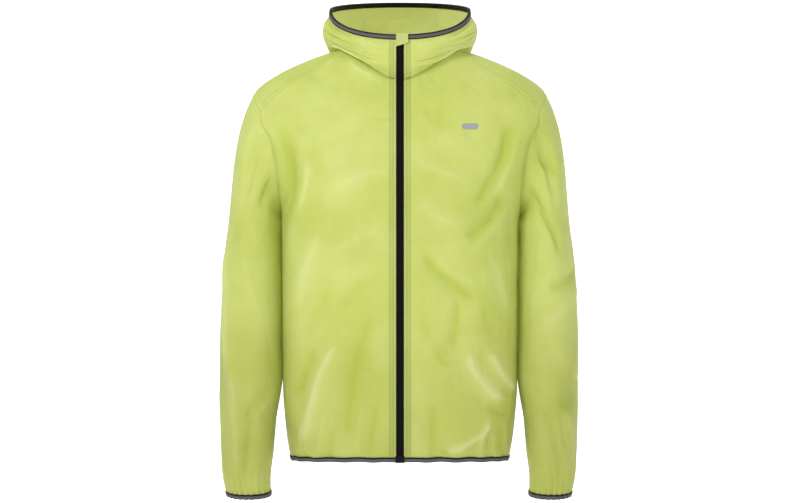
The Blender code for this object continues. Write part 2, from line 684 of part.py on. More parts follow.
def build():
    clear_scene()
    cloth = make_material("shell_cloth")
    elastic = make_material("edge_elastic")
    tape = make_material("zip_tape")
    plastic = make_material("zip_plastic")

    fronts = {side: make_front(side, cloth) for side in ("left", "right")}
    back = make_back(cloth)
    for side in ("left", "right"):
        loop = armhole_loop(back, side)
        points, normals = make_sleeve(side, loop, cloth)
        off = unit(points[-1] - points[-2])
        make_wrap(
            f"cuff_binding_{side}", points[-1], normals[-1], off, elastic,
            BINDING_WIDE, BINDING_WIDE, closed=True,
        )
    rim = make_hood(fronts["left"], back, cloth)

    first = fronts["left"]["turn"][0]
    hem_turn = np.concatenate([first[:-1], back["turn"][0, SHOULDER_COLUMNS:-SHOULDER_COLUMNS]])
    hem_turn = np.concatenate([hem_turn, 360 - first[::-1][1:]])
    edge, normals, off = skin_edge(body_skin, hem_turn, 0, BODY_STEPS[1])
    make_wrap("hem_binding", edge, normals, off, elastic, BINDING_WIDE, BINDING_WIDE)

    rim_start = zip_turn(hood_skin, np.array(float(HOOD_RIM)), GARAGE_X[1] + SEAM)
    rim_end = 360 - zip_turn(hood_skin, np.array(float(HOOD_RIM)), -GARAGE_X[0] + SEAM)
    inner = rim[(rim > rim_start + 1) & (rim < rim_end - 1)]
    rim_turn = np.concatenate([[rim_start], inner, [rim_end]])
    edge, normals, off = skin_edge(hood_skin, rim_turn, HOOD_RIM, HOOD_STEPS[-2])
    make_wrap(
        "hood_binding", edge, normals, off, elastic, HOOD_BINDING_WIDE, HOOD_BINDING_WIDE
    )

    garage_x = np.linspace(GARAGE_X[0], GARAGE_X[1], 4)
    garage_turn = np.array([
        np.sign(x) * zip_turn(hood_skin, np.array(float(HOOD_RIM)), abs(x)) for x in garage_x
    ])
    edge, normals, off = skin_edge(hood_skin, garage_turn, HOOD_RIM, HOOD_STEPS[-2])
    make_wrap(
        "zip_garage", edge, normals, off, cloth, np.linspace(*GARAGE_DROP, 4),
        GARAGE_INSIDE_DROP, lift=GARAGE_LIFT, wall=GARAGE_WALL,
    )

    for side in ("left", "right"):
        make_tape(side, tape)
    make_block(
        "zip_box", body_skin, BOX_HALF, BOX_LEVELS, -CLOTH, BOX_FRONT, plastic
    )
    make_block(
        "zip_slider", hood_skin, SLIDER_HALF, SLIDER_LEVELS, -CLOTH, SLIDER_FRONT, plastic,
        pinch=0.8,
    )


build()
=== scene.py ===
"""Rain jacket: the shown cloth, its edges, zip and materials, in the part's own frame.

The frame is in metres with +Z up and the wearer facing -Y; left and right are the wearer's.
Sizes below are in millimetres, and angles in degrees. The shown cloth lies on the same skins
as the part's panels, with a finer grid and finer creases.
"""

import bpy
import numpy as np
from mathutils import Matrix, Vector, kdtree


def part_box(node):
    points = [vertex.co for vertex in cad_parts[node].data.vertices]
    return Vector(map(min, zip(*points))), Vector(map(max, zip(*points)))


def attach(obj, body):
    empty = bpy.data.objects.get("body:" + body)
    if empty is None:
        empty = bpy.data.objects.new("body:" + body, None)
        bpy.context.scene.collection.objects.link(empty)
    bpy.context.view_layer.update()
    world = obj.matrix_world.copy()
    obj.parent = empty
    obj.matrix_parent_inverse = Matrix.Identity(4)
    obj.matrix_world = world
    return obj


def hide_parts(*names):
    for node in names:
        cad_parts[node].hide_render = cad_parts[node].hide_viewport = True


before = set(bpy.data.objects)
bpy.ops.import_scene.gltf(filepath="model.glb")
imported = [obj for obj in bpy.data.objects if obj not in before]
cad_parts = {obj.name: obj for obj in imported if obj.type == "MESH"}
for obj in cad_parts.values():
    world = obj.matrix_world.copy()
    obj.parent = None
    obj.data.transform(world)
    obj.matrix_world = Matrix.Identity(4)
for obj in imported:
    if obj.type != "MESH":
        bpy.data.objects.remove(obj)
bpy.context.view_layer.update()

MM = 0.001
CLOTH = 1.2  # wall of the cloth
SEAM = 0.3  # gap between pieces where they are sewn
SEAM_RADIUS = 140  # how far the seams that run up the jacket are from its axis, about
ZIP_HALF = 6.5  # from the zip's middle to the edge of a front

# Rings of the body, from the hem up. A ring's depth and height are given at its side, its
# front and its back; the powers say how fast the height changes between them.
RING_COLUMNS = (
    "level", "half_width", "z_side", "y_front", "z_front", "front_power",
    "y_back", "z_back", "back_power", "squareness",
)
BODY = np.array([
    (0, 181, -681.5, 113, -678.5, 2.0, 118, -681, 2.0, 2.5),
    (27, 187, -655, 121, -653, 2.0, 125, -655, 2.0, 2.5),
    (82, 194, -600, 131, -598, 2.0, 131, -600, 2.0, 2.45),
    (202, 197.5, -480, 135, -480, 2.0, 129, -480, 2.0, 2.4),
    (332, 198.5, -350, 138, -355, 2.0, 129, -350, 2.0, 2.4),
    (410, 201, -272, 139, -285, 2.0, 134, -275, 2.0, 2.5),
    (480, 220, -190, 137, -242, 1.8, 137, -212, 1.8, 2.6),
    (550, 236, -110, 133, -205, 1.7, 134, -160, 1.7, 2.8),
    (620, 243, -66, 124, -160, 1.5, 124, -110, 1.5, 3.0),
    (680, 200, -34, 101, -92, 2.5, 106, -55, 2.0, 2.5),
    (730, 155, -13, 88, -68, 2.2, 91, -22, 2.0, 2.4),
    (785, 108, 3, 76, -48, 6.0, 74, 4, 3.0, 2.2),
])
UNDERARM = 410  # level of the armhole's lowest point
ARM_MIDDLE = 550
SHOULDER_TIP = 620
NECK = 785
ARMHOLE_REACH = 33  # how far in turn the armhole goes to each side of the side line

# The shoulder seam lies on the front, forward of the shoulder's ridge.
SHOULDER_SEAM_COLUMNS = ("level", "turn")
SHOULDER_SEAM = np.array([(620, 61.4), (680, 55.5), (730, 56.5), (785, 60)])

# Rings of the hood, from the neck to the rim, with the same columns.
HOOD = np.array([
    (0, 108, 3, 76, -48, 6.0, 74, 4, 3.0, 2.2),
    (15, 116, 8, 83, -40, 5.0, 89, 6, 3.0, 2.2),
    (45, 123, 14, 87, -33, 4.2, 114, -36, 3.4, 2.2),
    (85, 127, 20, 89, -26, 3.4, 138, -96, 2.8, 2.2),
    (125, 129, 27, 90, -19, 2.7, 172, -130, 2.2, 2.2),
    (165, 130, 34, 90, -13, 2.2, 204, -110, 1.9, 2.2),
    (205, 129.5, 41, 90, -7, 1.8, 221, -62, 1.8, 2.2),
    (250, 128, 48, 90, -2, 1.6, 221, -8, 1.8, 2.2),
    (295, 125, 54, 89.5, 4, 1.4, 205, 40, 1.7, 2.2),
    (330, 121, 60, 89, 10, 1.2, 172, 72, 1.3, 2.2),
    (350, 118.6, 64.5, 88, 15.3, 1.1, 148, 88.5, 1.05, 2.2),
    (360, 117, 73, 87, 24, 1.05, 140.5, 95, 1.0, 2.2),
])
HOOD_RIM = 360

# Rings of a sleeve below the underarm. The sleeve bends forward at the elbow.
SLEEVE_COLUMNS = ("z", "centre_x", "half_width", "centre_y", "half_depth")
SLEEVE = np.array([
    (-300, 246, 43, 4, 80),
    (-350, 248.5, 47, 3, 80),
    (-415, 250.5, 49, 0, 78),
    (-482, 251.5, 50.2, -5, 75),
    (-549, 251, 50, -13, 70),
    (-617, 253.5, 46, -22, 63),
    (-667, 254.5, 43, -28, 57),
    (-709, 255, 39, -33, 50),
    (-738, 251, 35.5, -36, 43),
])
SLEEVE_ROUND = 2.2
# The way a sleeve's head leaves the armhole: into the hole, straight on, and outwards, with
# more outwards under the arm.
HEAD_INTO, HEAD_STRAIGHT, HEAD_OUT, HEAD_OUT_UNDER = 0.35, 0.65, 0.22, 0.1
HEAD_ROWS, HEAD_CROWDING = 52, 1.15  # its rows crowd towards the armhole
HEAD_ARRIVE = 12.0  # below the first ring, where the direction of arrival is taken
HEAD_FOLD_FADE = 0.35  # share of the head's rows over which folds fade in
SLEEVE_WIDER = {"left": -2.5, "right": 1.0}  # the two sleeves hang a little differently
CUFF_DIP = 5  # how much lower the front of the cuff is
CUFF_DIP_FROM = -640  # the height below which the dip grows

# Folds, in a front view: from one end to the other, bowed sideways, with the spread to each
# side and a height that is positive for a ridge and negative for a trough.
FOLD_COLUMNS = ("x0", "z0", "x1", "z1", "bow", "spread", "height")
FOLD_END = 0.14  # share of a fold's length over which it fades in at each end
FRONT_FOLDS = (
    (-106, -489, -156, -645, 8, 15, 4.5),
    (-144, -495, -170, -565, 0, 14, -4.0),
    (-49, -450, -84, -628, 8, 18, -4.0),
    (-39, -585, -50, -665, 0, 13, -2.5),
    (-196, -130, -194, -272, -16, 15, -6.5),
    (-160, -170, -172, -262, -4, 15, 3.0),
    (186, -120, 130, -255, -10, 16, -5.5),
    (172, -240, 112, -310, -6, 15, -4.5),
    (40, -340, 125, -412, 6, 15, -3.5),
    (98, -415, 86, -490, 0, 13, -3.0),
    (110, -500, 168, -578, 4, 14, 4.0),
    (150, -500, 188, -560, 0, 13, 3.5),
    (150, -612, 76, -660, -8, 13, 4.0),
    (55, -585, 54, -672, 0, 14, -3.0),
    (-20, -150, -120, -196, 6, 22, 2.0),
    (60, -150, 150, -110, 6, 20, 2.0),
)
BACK_FOLDS = (
    (-170, -120, -60, -196, 10, 20, -4.0),
    (176, -130, 70, -210, -10, 20, -4.0),
    (-150, -250, -168, -420, 8, 18, 4.0),
    (148, -260, 172, -400, -6, 18, 4.5),
    (-20, -420, -120, -520, -10, 18, -3.5),
    (30, -450, 140, -540, 8, 18, -4.0),
    (-96, -540, -140, -655, 6, 15, 4.0),
    (84, -530, 136, -650, -6, 16, 4.5),
    (4, -560, -10, -665, 3, 17, -3.0),
    (-50, -60, 60, -72, -8, 18, -2.5),
)
# Sleeve folds, the same way: how far round from the outer side towards the front, in
# millimetres, and the height. The right sleeve has a table of its own.
ROUND_MM = 1.1  # millimetres round the sleeve for each degree
LEFT_SLEEVE_FOLDS = (
    (150, -150, 60, -200, 8, 13, -4.5),
    (150, -235, 70, -330, 10, 15, -5.0),
    (20, -365, 96, -392, 4, 13, -4.5),
    (24, -392, 110, -450, 6, 13, 3.5),
    (14, -548, 80, -590, 4, 13, -4.0),
    (70, -596, 46, -668, 6, 13, 3.5),
    (120, -590, 84, -700, 6, 13, -3.5),
    (-30, -240, -110, -330, 8, 16, -4.0),
    (-20, -420, -120, -470, 6, 15, -4.5),
    (-60, -560, -90, -680, 6, 14, 3.5),
)
RIGHT_SLEEVE_FOLDS = (
    (140, -120, 120, -260, -10, 15, -4.5),
    (40, -325, 56, -520, 6, 14, 5.0),
    (20, -380, 30, -560, 4, 14, -4.0),
    (150, -560, 96, -606, 4, 13, -4.5),
    (60, -530, 74, -690, -6, 14, 4.0),
    (110, -610, 96, -700, 4, 13, -3.0),
    (-30, -220, -120, -320, 8, 16, -4.5),
    (-16, -430, -110, -500, 6, 15, -4.0),
    (-70, -580, -80, -690, -6, 14, 3.5),
)

FLAT_FADE = 60  # along the body, folds fade in over this below the neck and at the underarm
SIDE_FLAT, SIDE_FADE = 3, 22  # beside a side seam, in turn, folds are flat and then fade in
ZIP_FADE = 25  # beside the zip tapes they fade in over this
FOLD_FREE = 150  # degrees from the outer side beyond which a sleeve has no folds
FOLD_FREE_FADE = 35

# Gathers along the elastic edges: waves on a quarter of the body and round a sleeve.
HEM_WAVES_FRONT = 6
HEM_WAVES_BACK = 5
HEM_GATHER = 1.6
HEM_GATHER_UP = 34  # how far up it fades out, above the binding
CUFF_GATHER = 1.3
CUFF_GATHER_UP = 24
CALM_FROM, CALM_FADE, CALM_LEAST = 165, 20, 0.3  # a cuff is less gathered at its inner side
EDGE_BAND = 9  # beside an elastic edge, where the gathers keep their height

# Folded elastic bindings.
BINDING_WIDE = 7.5  # how far a leg comes up over the cloth
BINDING_LIFT = 0.4  # gap between a leg and the cloth
BINDING_WALL = 1.0
HOOD_BINDING_WIDE = 8.0

# The zip.
TAPE_HALF = 18
TAPE_BEHIND = CLOTH + SEAM
TAPE_BOTTOM = 9.5  # level
TAPE_TOP = 348  # level on the hood
GARAGE_X = (-6.4, 13.1)
GARAGE_DROP = (20.0, 13.5)  # how far it comes down the zip at its two ends
GARAGE_INSIDE_DROP = 9.0
GARAGE_LIFT = 2.6
BOX_WIDE, BOX_TALLER = 14.6, 1.6  # the box closes the space between the bindings
BOX_ROUNDED = 0.7

# The shown cloth.
STEP = 3.4  # its grid along the jacket
ROW_STEP = 4.0  # the rows of a sleeve
FINE = 2.5  # spacing of points along a seam
SHELL = 0.4  # its thickness
SHARP = 60  # edges sharper than this, in degrees, stay sharp
ARMHOLE_TURN = 120  # round the armhole's curve, from the underarm to the shoulder tip
ARMHOLE_STEP = 1.6
ZIP_COLUMNS, FRONT_COLUMNS = 13, 62
BACK_COLUMNS, OVER_COLUMNS = 113, 36  # over: on each shoulder, from the seam to the armhole
HOOD_ZIP_COLUMNS, HOOD_SIDE_COLUMNS, HOOD_CENTRE_COLUMNS = 9, 118, 83
SLEEVE_COLUMNS_SHOWN = 150
TIP_POINTS = 81  # along the armhole's edge over the shoulder
HOOD_FIRST, HOOD_STEP = -0.15, 2.6  # the hood starts just past the neck seam

# Finer creases over the folds: the columns of a fold, then how crisp its crest is, from 0 to 1.
CREASE_END = 0.22  # share of a crease's length over which it fades in at each end
CREST_FALL, CREST_ROUND, CREST_TOP = 1.6, 0.02, 0.14  # the form of a crisp crest
CREASE_COLUMNS = FOLD_COLUMNS + ("crisp",)
FRONT_CREASES = (
    (-106, -489, -143, -578, 5, 5, 1.5, 0.8),
    (-139, -570, -156, -648, 3, 5, 1.9, 0.8),
    (-144, -502, -166, -562, 2, 6, -1.6, 0.5),
    (-50, -452, -80, -566, 5, 7, -1.6, 0.4),
    (-78, -560, -86, -632, 2, 5, -1.6, 0.5),
    (-39, -592, -50, -664, 0, 5, -1.8, 0.6),
    (-62, -600, -70, -668, 2, 6, 1.6, 0.5),
    (-124, -604, -134, -672, 1, 4, 1.8, 0.6),
    (-112, -628, -116, -676, 0, 4, -1.6, 0.5),
    (-160, -615, -165, -670, 1, 5, 1.6, 0.6),
    (-196, -150, -180, -240, -6, 6, -2.2, 0.6),
    (-182, -228, -196, -270, -2, 6, 1.9, 0.7),
    (-150, -190, -164, -262, -3, 7, 1.6, 0.5),
    (-84, -16, -52, -40, 3, 6, 2.2, 0.5),
    (-54, -38, -28, -54, 2, 5, 1.6, 0.5),
    (-44, -113, -12, -116, 1, 3, -1.2, 0.6),
    (-30, -122, -10, -120, 1, 3, 0.9, 0.6),
    (-24, -200, -110, -232, 4, 12, 1.6, 0.2),
    (-30, -300, -120, -340, 6, 14, 1.5, 0.1),
    (-28, -372, -96, -420, 5, 12, -1.5, 0.2),
    (-130, -300, -170, -420, 5, 12, 1.9, 0.2),
    (-110, -392, -150, -470, 3, 11, -1.4, 0.2),
    (181, -131, 170, -178, 3, 6, -2.2, 0.6),
    (170, -176, 144, -226, -3, 7, -2.4, 0.6),
    (146, -222, 130, -250, -2, 6, -1.9, 0.6),
    (196, -150, 150, -252, -5, 6, 2.2, 0.7),
    (168, -249, 150, -282, -2, 6, -2.0, 0.6),
    (152, -280, 116, -308, -3, 6, -2.0, 0.6),
    (180, -262, 124, -326, -4, 6, 1.8, 0.6),
    (44, -346, 90, -384, 4, 7, -2.2, 0.5),
    (88, -382, 122, -410, 2, 6, -2.0, 0.6),
    (52, -336, 110, -382, 4, 7, 1.5, 0.4),
    (96, -420, 88, -488, -2, 6, -1.8, 0.5),
    (58, -496, 82, -520, 2, 5, -2.0, 0.6),
    (112, -508, 130, -544, 3, 6, 2.3, 0.7),
    (130, -543, 166, -576, 3, 6, 2.3, 0.7),
    (150, -505, 190, -564, 3, 5, 2.2, 0.7),
    (146, -586, 178, -606, 2, 8, -2.6, 0.4),
    (146, -618, 121, -644, -3, 5, 2.6, 0.8),
    (121, -643, 78, -659, -3, 5, 2.3, 0.8),
    (136, -634, 130, -674, 1, 3.5, 2.0, 0.6),
    (146, -630, 144, -676, 1, 3, -1.9, 0.6),
    (155, -636, 158, -674, 1, 3.5, 2.0, 0.6),
    (166, -622, 170, -672, 1, 3.5, -1.9, 0.6),
    (175, -630, 178, -668, 1, 3, 1.6, 0.6),
    (60, -660, 74, -676, 0, 4, 2.0, 0.7),
    (76, -660, 64, -676, 0, 4, -1.6, 0.7),
    (55, -588, 53, -668, 0, 5, -2.0, 0.5),
    (28, -616, 30, -672, 0, 5, 1.4, 0.5),
    (24, -180, 110, -214, 5, 12, 1.6, 0.2),
    (30, -90, 92, -128, 5, 11, -1.4, 0.2),
    (26, -250, 96, -290, 4, 12, 1.4, 0.2),
    (30, -440, 76, -500, 4, 12, -1.5, 0.2),
    (150, -340, 176, -440, -4, 11, 1.8, 0.2),
    (130, -380, 150, -480, -3, 10, -1.4, 0.2),
    (-158, -656, -138, -674, 2, 5, 1.8, 0.7),
)
BACK_CREASES = (
    (-172, -126, -120, -170, 4, 6, -1.9, 0.6),
    (-122, -168, -66, -198, 3, 6, -1.7, 0.5),
    (-150, -110, -80, -176, 5, 7, 1.4, 0.5),
    (174, -134, 118, -184, -4, 6, -1.9, 0.6),
    (120, -182, 74, -210, -3, 6, -1.6, 0.5),
    (160, -116, 96, -180, -5, 7, 1.6, 0.5),
    (-151, -256, -164, -330, 4, 6, 1.7, 0.7),
    (-162, -330, -170, -418, 3, 6, 1.6, 0.6),
    (148, -262, 166, -340, -3, 6, 1.8, 0.7),
    (164, -340, 174, -404, -2, 5, 1.6, 0.6),
    (-24, -424, -76, -478, -4, 6, -1.7, 0.5),
    (-74, -476, -122, -520, -3, 6, -1.6, 0.6),
    (34, -454, 92, -508, 4, 6, -1.8, 0.5),
    (90, -506, 142, -542, 3, 6, -1.7, 0.6),
    (-97, -544, -124, -604, 3, 5, 1.8, 0.7),
    (-122, -602, -140, -658, 2, 5, 1.7, 0.7),
    (85, -534, 116, -598, -3, 5, 1.9, 0.7),
    (114, -596, 138, -654, -2, 5, 1.8, 0.7),
    (4, -564, -8, -666, 2, 6, -1.6, 0.5),
    (-48, -600, -56, -672, 1, 4, 1.4, 0.6),
    (-30, -626, -32, -676, 0, 4, -1.3, 0.6),
    (40, -604, 44, -674, 1, 4, 1.6, 0.6),
    (60, -630, 62, -676, 0, 4, -1.4, 0.6),
    (-160, -606, -166, -668, 1, 4, 1.4, 0.6),
    (160, -600, 168, -668, -1, 4, 1.6, 0.6),
    (-60, -100, 30, -112, -4, 10, 1.2, 0.2),
    (-20, -250, -110, -300, -5, 13, 1.4, 0.2),
    (20, -300, 100, -330, 5, 13, 1.4, 0.2),
    (-30, -360, -100, -372, 4, 12, -1.2, 0.2),
)
# Sleeve creases: millimetres round from the outer side towards the front, and the height.
LEFT_SLEEVE_CREASES = (
    (120, -146, 100, -182, 3, 5, -1.9, 0.6),
    (100, -180, 62, -202, 3, 5, -1.7, 0.6),
    (136, -150, 112, -196, 3, 6, 1.7, 0.6),
    (140, -236, 112, -272, 4, 6, -2.0, 0.6),
    (112, -270, 72, -330, 4, 6, -1.8, 0.6),
    (128, -262, 88, -330, 4, 6, 1.6, 0.6),
    (16, -360, 52, -376, 2, 6, -2.2, 0.7),
    (50, -374, 98, -394, 2, 6, -1.7, 0.6),
    (20, -376, 60, -410, 3, 5, 2.0, 0.8),
    (58, -408, 112, -450, 3, 6, 1.7, 0.7),
    (0, -540, 28, -556, 1, 5, -2.0, 0.7),
    (6, -562, 30, -572, 1, 4, -1.8, 0.7),
    (20, -568, 74, -576, 2, 5, 1.8, 0.7),
    (70, -596, 48, -668, 4, 5, 1.8, 0.7),
    (92, -590, 66, -668, 3, 5, -1.6, 0.5),
    (88, -600, 84, -660, 2, 4, 1.7, 0.7),
    (72, -660, 64, -694, 1, 4, 1.6, 0.7),
    (118, -664, 100, -728, 2, 4, -1.7, 0.6),
    (60, -700, 58, -734, 0, 3, 1.2, 0.6),
    (30, -690, 32, -734, 0, 3, -1.1, 0.6),
    (96, -480, 60, -530, 4, 9, 1.4, 0.3),
    (40, -460, 60, -540, 4, 10, -1.2, 0.2),
    (60, -230, 40, -300, 4, 10, 1.3, 0.3),
    (-34, -246, -108, -328, 5, 6, -1.8, 0.6),
    (-24, -424, -118, -470, 4, 6, -1.8, 0.6),
    (-30, -440, -100, -500, 4, 6, 1.6, 0.6),
    (-60, -564, -88, -676, 3, 5, 1.8, 0.7),
    (-96, -590, -110, -690, 3, 5, -1.4, 0.6),
)
RIGHT_SLEEVE_CREASES = (
    (136, -124, 124, -190, -4, 5, -1.9, 0.6),
    (124, -188, 116, -258, -3, 5, -1.7, 0.6),
    (116, -130, 100, -240, -4, 7, 1.4, 0.5),
    (80, -300, 96, -372, 4, 6, 1.7, 0.6),
    (96, -370, 126, -438, 4, 6, 1.8, 0.7),
    (40, -330, 50, -420, 4, 6, 1.9, 0.7),
    (50, -418, 56, -520, 3, 6, 1.9, 0.7),
    (30, -390, 34, -520, 3, 6, -1.7, 0.5),
    (16, -520, 24, -606, 2, 6, 1.8, 0.7),
    (24, -604, 34, -680, 2, 5, 1.7, 0.7),
    (160, -566, 126, -592, 3, 5, -2.2, 0.7),
    (128, -590, 96, -606, 2, 5, -1.7, 0.6),
    (150, -586, 110, -616, 2, 5, 1.7, 0.7),
    (62, -534, 70, -610, -3, 5, 1.7, 0.7),
    (70, -608, 76, -690, -3, 5, 1.7, 0.7),
    (108, -616, 98, -700, 2, 5, -1.7, 0.6),
    (110, -300, 96, -296, 2, 6, 1.3, 0.5),
    (48, -690, 50, -734, 0, 3, 1.2, 0.6),
    (84, -694, 86, -734, 0, 3, -1.2, 0.6),
    (100, -450, 80, -520, 4, 9, -1.3, 0.3),
    (70, -210, 60, -280, -4, 10, 1.3, 0.3),
    (-34, -226, -116, -318, 5, 6, -1.9, 0.6),
    (-20, -436, -108, -500, 4, 6, -1.8, 0.6),
    (-30, -456, -96, -530, 4, 6, 1.4, 0.6),
    (-70, -584, -80, -688, -3, 5, 1.8, 0.7),
    (-100, -600, -108, -700, -3, 5, -1.4, 0.6),
)
# Hood creases: millimetres round from the front centre, and the level.
HOOD_ROUND_MM = 2.5  # millimetres round the hood for each degree
HOOD_CREASES = (
    (75, 24, 250, 30, 3, 13, 2.7, 0.3),
    (70, 4, 260, 5, 0, 6, -1.8, 0.3),
    (-75, 26, -250, 30, -3, 13, 2.5, 0.3),
    (-70, 4, -260, 5, 0, 6, -1.8, 0.3),
    (36, 20, 66, 40, 2, 8, -1.7, 0.6),
    (-36, 22, -66, 40, -2, 8, -1.7, 0.6),
    (48, 40, 120, 20, 4, 9, 1.6, 0.6),
    (60, 90, 150, 54, 5, 10, -1.7, 0.5),
    (90, 150, 170, 96, 5, 11, 2.6, 0.5),
    (60, 190, 140, 160, 4, 10, 1.8, 0.5),
    (120, 230, 220, 170, 6, 11, -2.3, 0.5),
    (70, 260, 150, 300, 4, 8, 1.8, 0.5),
    (170, 290, 250, 240, 5, 11, 2.1, 0.5),
    (100, 330, 180, 320, 3, 8, -1.6, 0.6),
    (200, 60, 260, 120, 5, 11, 2.3, 0.5),
    (240, 150, 320, 110, 5, 12, -2.6, 0.4),
    (250, 330, 320, 300, 4, 9, 1.8, 0.6),
    (36, 300, 60, 336, 2, 7, 1.4, 0.6),
    (150, 20, 176, 70, 3, 8, 1.4, 0.6),
    (196, 330, 230, 344, 2, 7, 1.4, 0.6),
    (-48, 34, -130, 24, 4, 9, 1.6, 0.6),
    (-56, 80, -140, 64, 4, 10, -1.7, 0.5),
    (-84, 140, -176, 110, 5, 11, 2.6, 0.5),
    (-56, 180, -130, 176, 4, 10, 1.8, 0.5),
    (-110, 226, -210, 180, 6, 11, -2.3, 0.5),
    (-66, 250, -160, 290, 4, 10, 1.8, 0.5),
    (-176, 300, -246, 250, 5, 11, 2.0, 0.5),
    (-96, 336, -170, 318, 3, 8, -1.6, 0.6),
    (-196, 70, -256, 130, 5, 11, 2.3, 0.5),
    (-236, 160, -316, 120, 5, 12, -2.6, 0.4),
    (-34, 290, -64, 332, 2, 7, 1.4, 0.6),
    (-146, 26, -180, 64, 3, 8, 1.4, 0.6),
    (380, 60, 470, 80, 8, 12, 2.6, 0.3),
    (420, 130, 500, 110, 6, 12, -2.8, 0.3),
    (370, 170, 440, 200, 6, 11, 2.3, 0.4),
    (460, 230, 540, 210, 6, 11, 2.3, 0.4),
    (380, 290, 450, 270, 5, 10, -2.1, 0.4),
    (440, 330, 520, 320, 4, 8, 1.8, 0.5),
    (360, 20, 400, 60, 4, 8, 2.1, 0.5),
    (500, 60, 550, 30, 4, 8, 2.1, 0.5),
    (30, 60, 70, 44, 3, 6, 1.1, 0.8),
    (34, 110, 84, 96, 3, 7, -1.6, 0.7),
    (40, 150, 80, 168, -3, 6, 1.4, 0.8),
    (84, 44, 130, 74, 4, 6, -1.1, 0.8),
    (96, 70, 116, 110, 3, 6, 1.2, 0.8),
    (130, 100, 176, 128, -4, 7, -1.2, 0.7),
    (60, 220, 110, 206, 3, 7, 1.4, 0.7),
    (150, 196, 196, 216, 4, 7, 1.6, 0.7),
    (150, 60, 204, 40, 4, 7, 1.2, 0.8),
    (180, 130, 230, 146, 3, 7, -1.6, 0.7),
    (-30, 70, -66, 50, 3, 6, 1.1, 0.8),
    (-36, 104, -90, 112, 3, 7, -1.2, 0.7),
    (-40, 160, -84, 150, -3, 6, 1.4, 0.8),
    (-80, 40, -126, 78, 4, 6, -1.1, 0.8),
    (-100, 66, -122, 104, 3, 6, 1.2, 0.8),
    (-128, 108, -180, 124, -4, 7, -1.2, 0.7),
    (-64, 210, -116, 220, 3, 7, 1.4, 0.7),
    (-150, 206, -200, 196, 4, 7, 1.6, 0.7),
    (-146, 56, -206, 46, 4, 7, 1.2, 0.8),
    (-184, 140, -226, 128, 3, 7, -1.6, 0.7),
)

# Stitched seams: where the cloth dips and rises beside one, and the small puckers along it.
SEAM_DIP, SEAM_DIP_SPREAD = -0.5, 1.4
PUCKER_DRIFT, PUCKER_UNEVEN = 37.0, 23.0  # how slowly the puckers change along a seam
SEAM_BAND, SEAM_BAND_FROM, SEAM_BAND_TO = 0.35, 1.5, 7.5
PUCKER, PUCKER_PITCH, PUCKER_REACH = 0.5, 11.0, 9.0

# Beside the zip the front's edge is folded under.
EDGE_FOLD, EDGE_FOLD_WIDE, EDGE_FOLD_END = 0.5, 4.2, 1.2
TAPE_STITCH_X = (11.0, 16.5)
STITCH_GROOVE, STITCH_GROOVE_WIDE = 0.3, 1.1
STITCH_INSET = 5.5  # from a seam to its row of stitches
STITCH_PITCH, STITCH_LONG, STITCH_THICK, STITCH_LIFT = 3.1, 2.1, 0.7, 0.16

# The bindings' section, as shares of a leg's reach and heights over the cloth: a soft fold.
BINDING_POINTS = (
    (1.00, 0.00), (1.00, 0.75), (0.86, 1.05), (0.60, 1.10), (0.34, 1.10), (0.10, 1.12),
    (0.00, 1.05), (-0.10, 0.75),
)

# The small reflective bar on the wearer's left chest.
BAR_X, BAR_Z = 115.0, -128.0
BAR_WIDE, BAR_TALL, BAR_LIFT = 27.0, 9.0, 0.5

# A sleeve's inner side hangs closer to the body than the part's: depths and distances. Just
# below the underarm it is closer still.
CLOSER = ((285.0, 300.0, 540.0, 610.0), (4.2, 4.2, 4.4, 0.0))
UNDERARM_GAP_Z, UNDERARM_GAP_TALL, UNDERARM_CLOSER = -284.0, 12.0, 4.4
CUFF_WAVES = 23
CUFF_UNEVEN = 0.6

# The hood's creases are calmer where its side outline shows, about this turn.
HOOD_CALM, HOOD_CALM_TURN, HOOD_CALM_WIDE = 0.75, 92, 17
HOOD_BACK = 226  # turns beyond this are counted from the other side

# The hood's panel seam, in turn: at the neck, and where it would be with even columns.
HOOD_EASE = 0.6
HOOD_EASE_UP = 160
HOOD_SEAM_NECK, HOOD_SEAM_EVEN = 149.32, 146.05

# Colours, linear.
LIME = (0.74, 0.78, 0.33)
LIME_DEEP = (0.66, 0.71, 0.23)
LIME_INSIDE = (0.92, 0.94, 0.62)
# Painted highlight: the lighter colour on high ridges, and the heights over which it comes in.
RIDGE_PAINTED_HIGHLIGHT = (0.80, 0.83, 0.45)
RIDGE_HEIGHTS = (1.3, 3.4)
TROUGH_PAINTED_SHADE = (0.84, 0.88, 0.5)  # painted shade: what the colour is multiplied by in a deep trough
TROUGH_HEIGHTS = (-2.8, 1.6)
PAINTED_LOW_SHADE = (0.86, 0.85, 0.74)  # painted shade: what the colour is multiplied by low down on the jacket
LOW_FROM_TO = (-0.66, -0.42)  # metres above the origin
FOLD_PAINTED_LIGHT = 0.36  # how much of a big fold's height counts for the painted shade and highlight in the colour
# Painted shadow beside the neck seam, where the hood bulges over it: its depth, its spread from the
# seam, and how far from the zip it starts and fades in.
NECK_PAINTED_SHADOW, NECK_PAINTED_SHADOW_WIDE, NECK_PAINTED_SHADOW_FROM = 3.4, 7.0, 22.0
NECK_PAINTED_SHADOW_FADE = 25
# Painted shade on the cloth where the zip tape lies behind it.
TAPE_PAINTED_SHADE = 1.1
CRUMPLE_WARP = 0.02
THROUGH = 0.5  # share of the light that passes into the cloth
GREY, GREY_LOW, BLACK = (0.12, 0.112, 0.122), (0.06, 0.056, 0.06), (0.006, 0.006, 0.007)
RIB_PITCH = 1.5
EDGE_SOFT = 0.06  # share of a binding over which its black edge ends

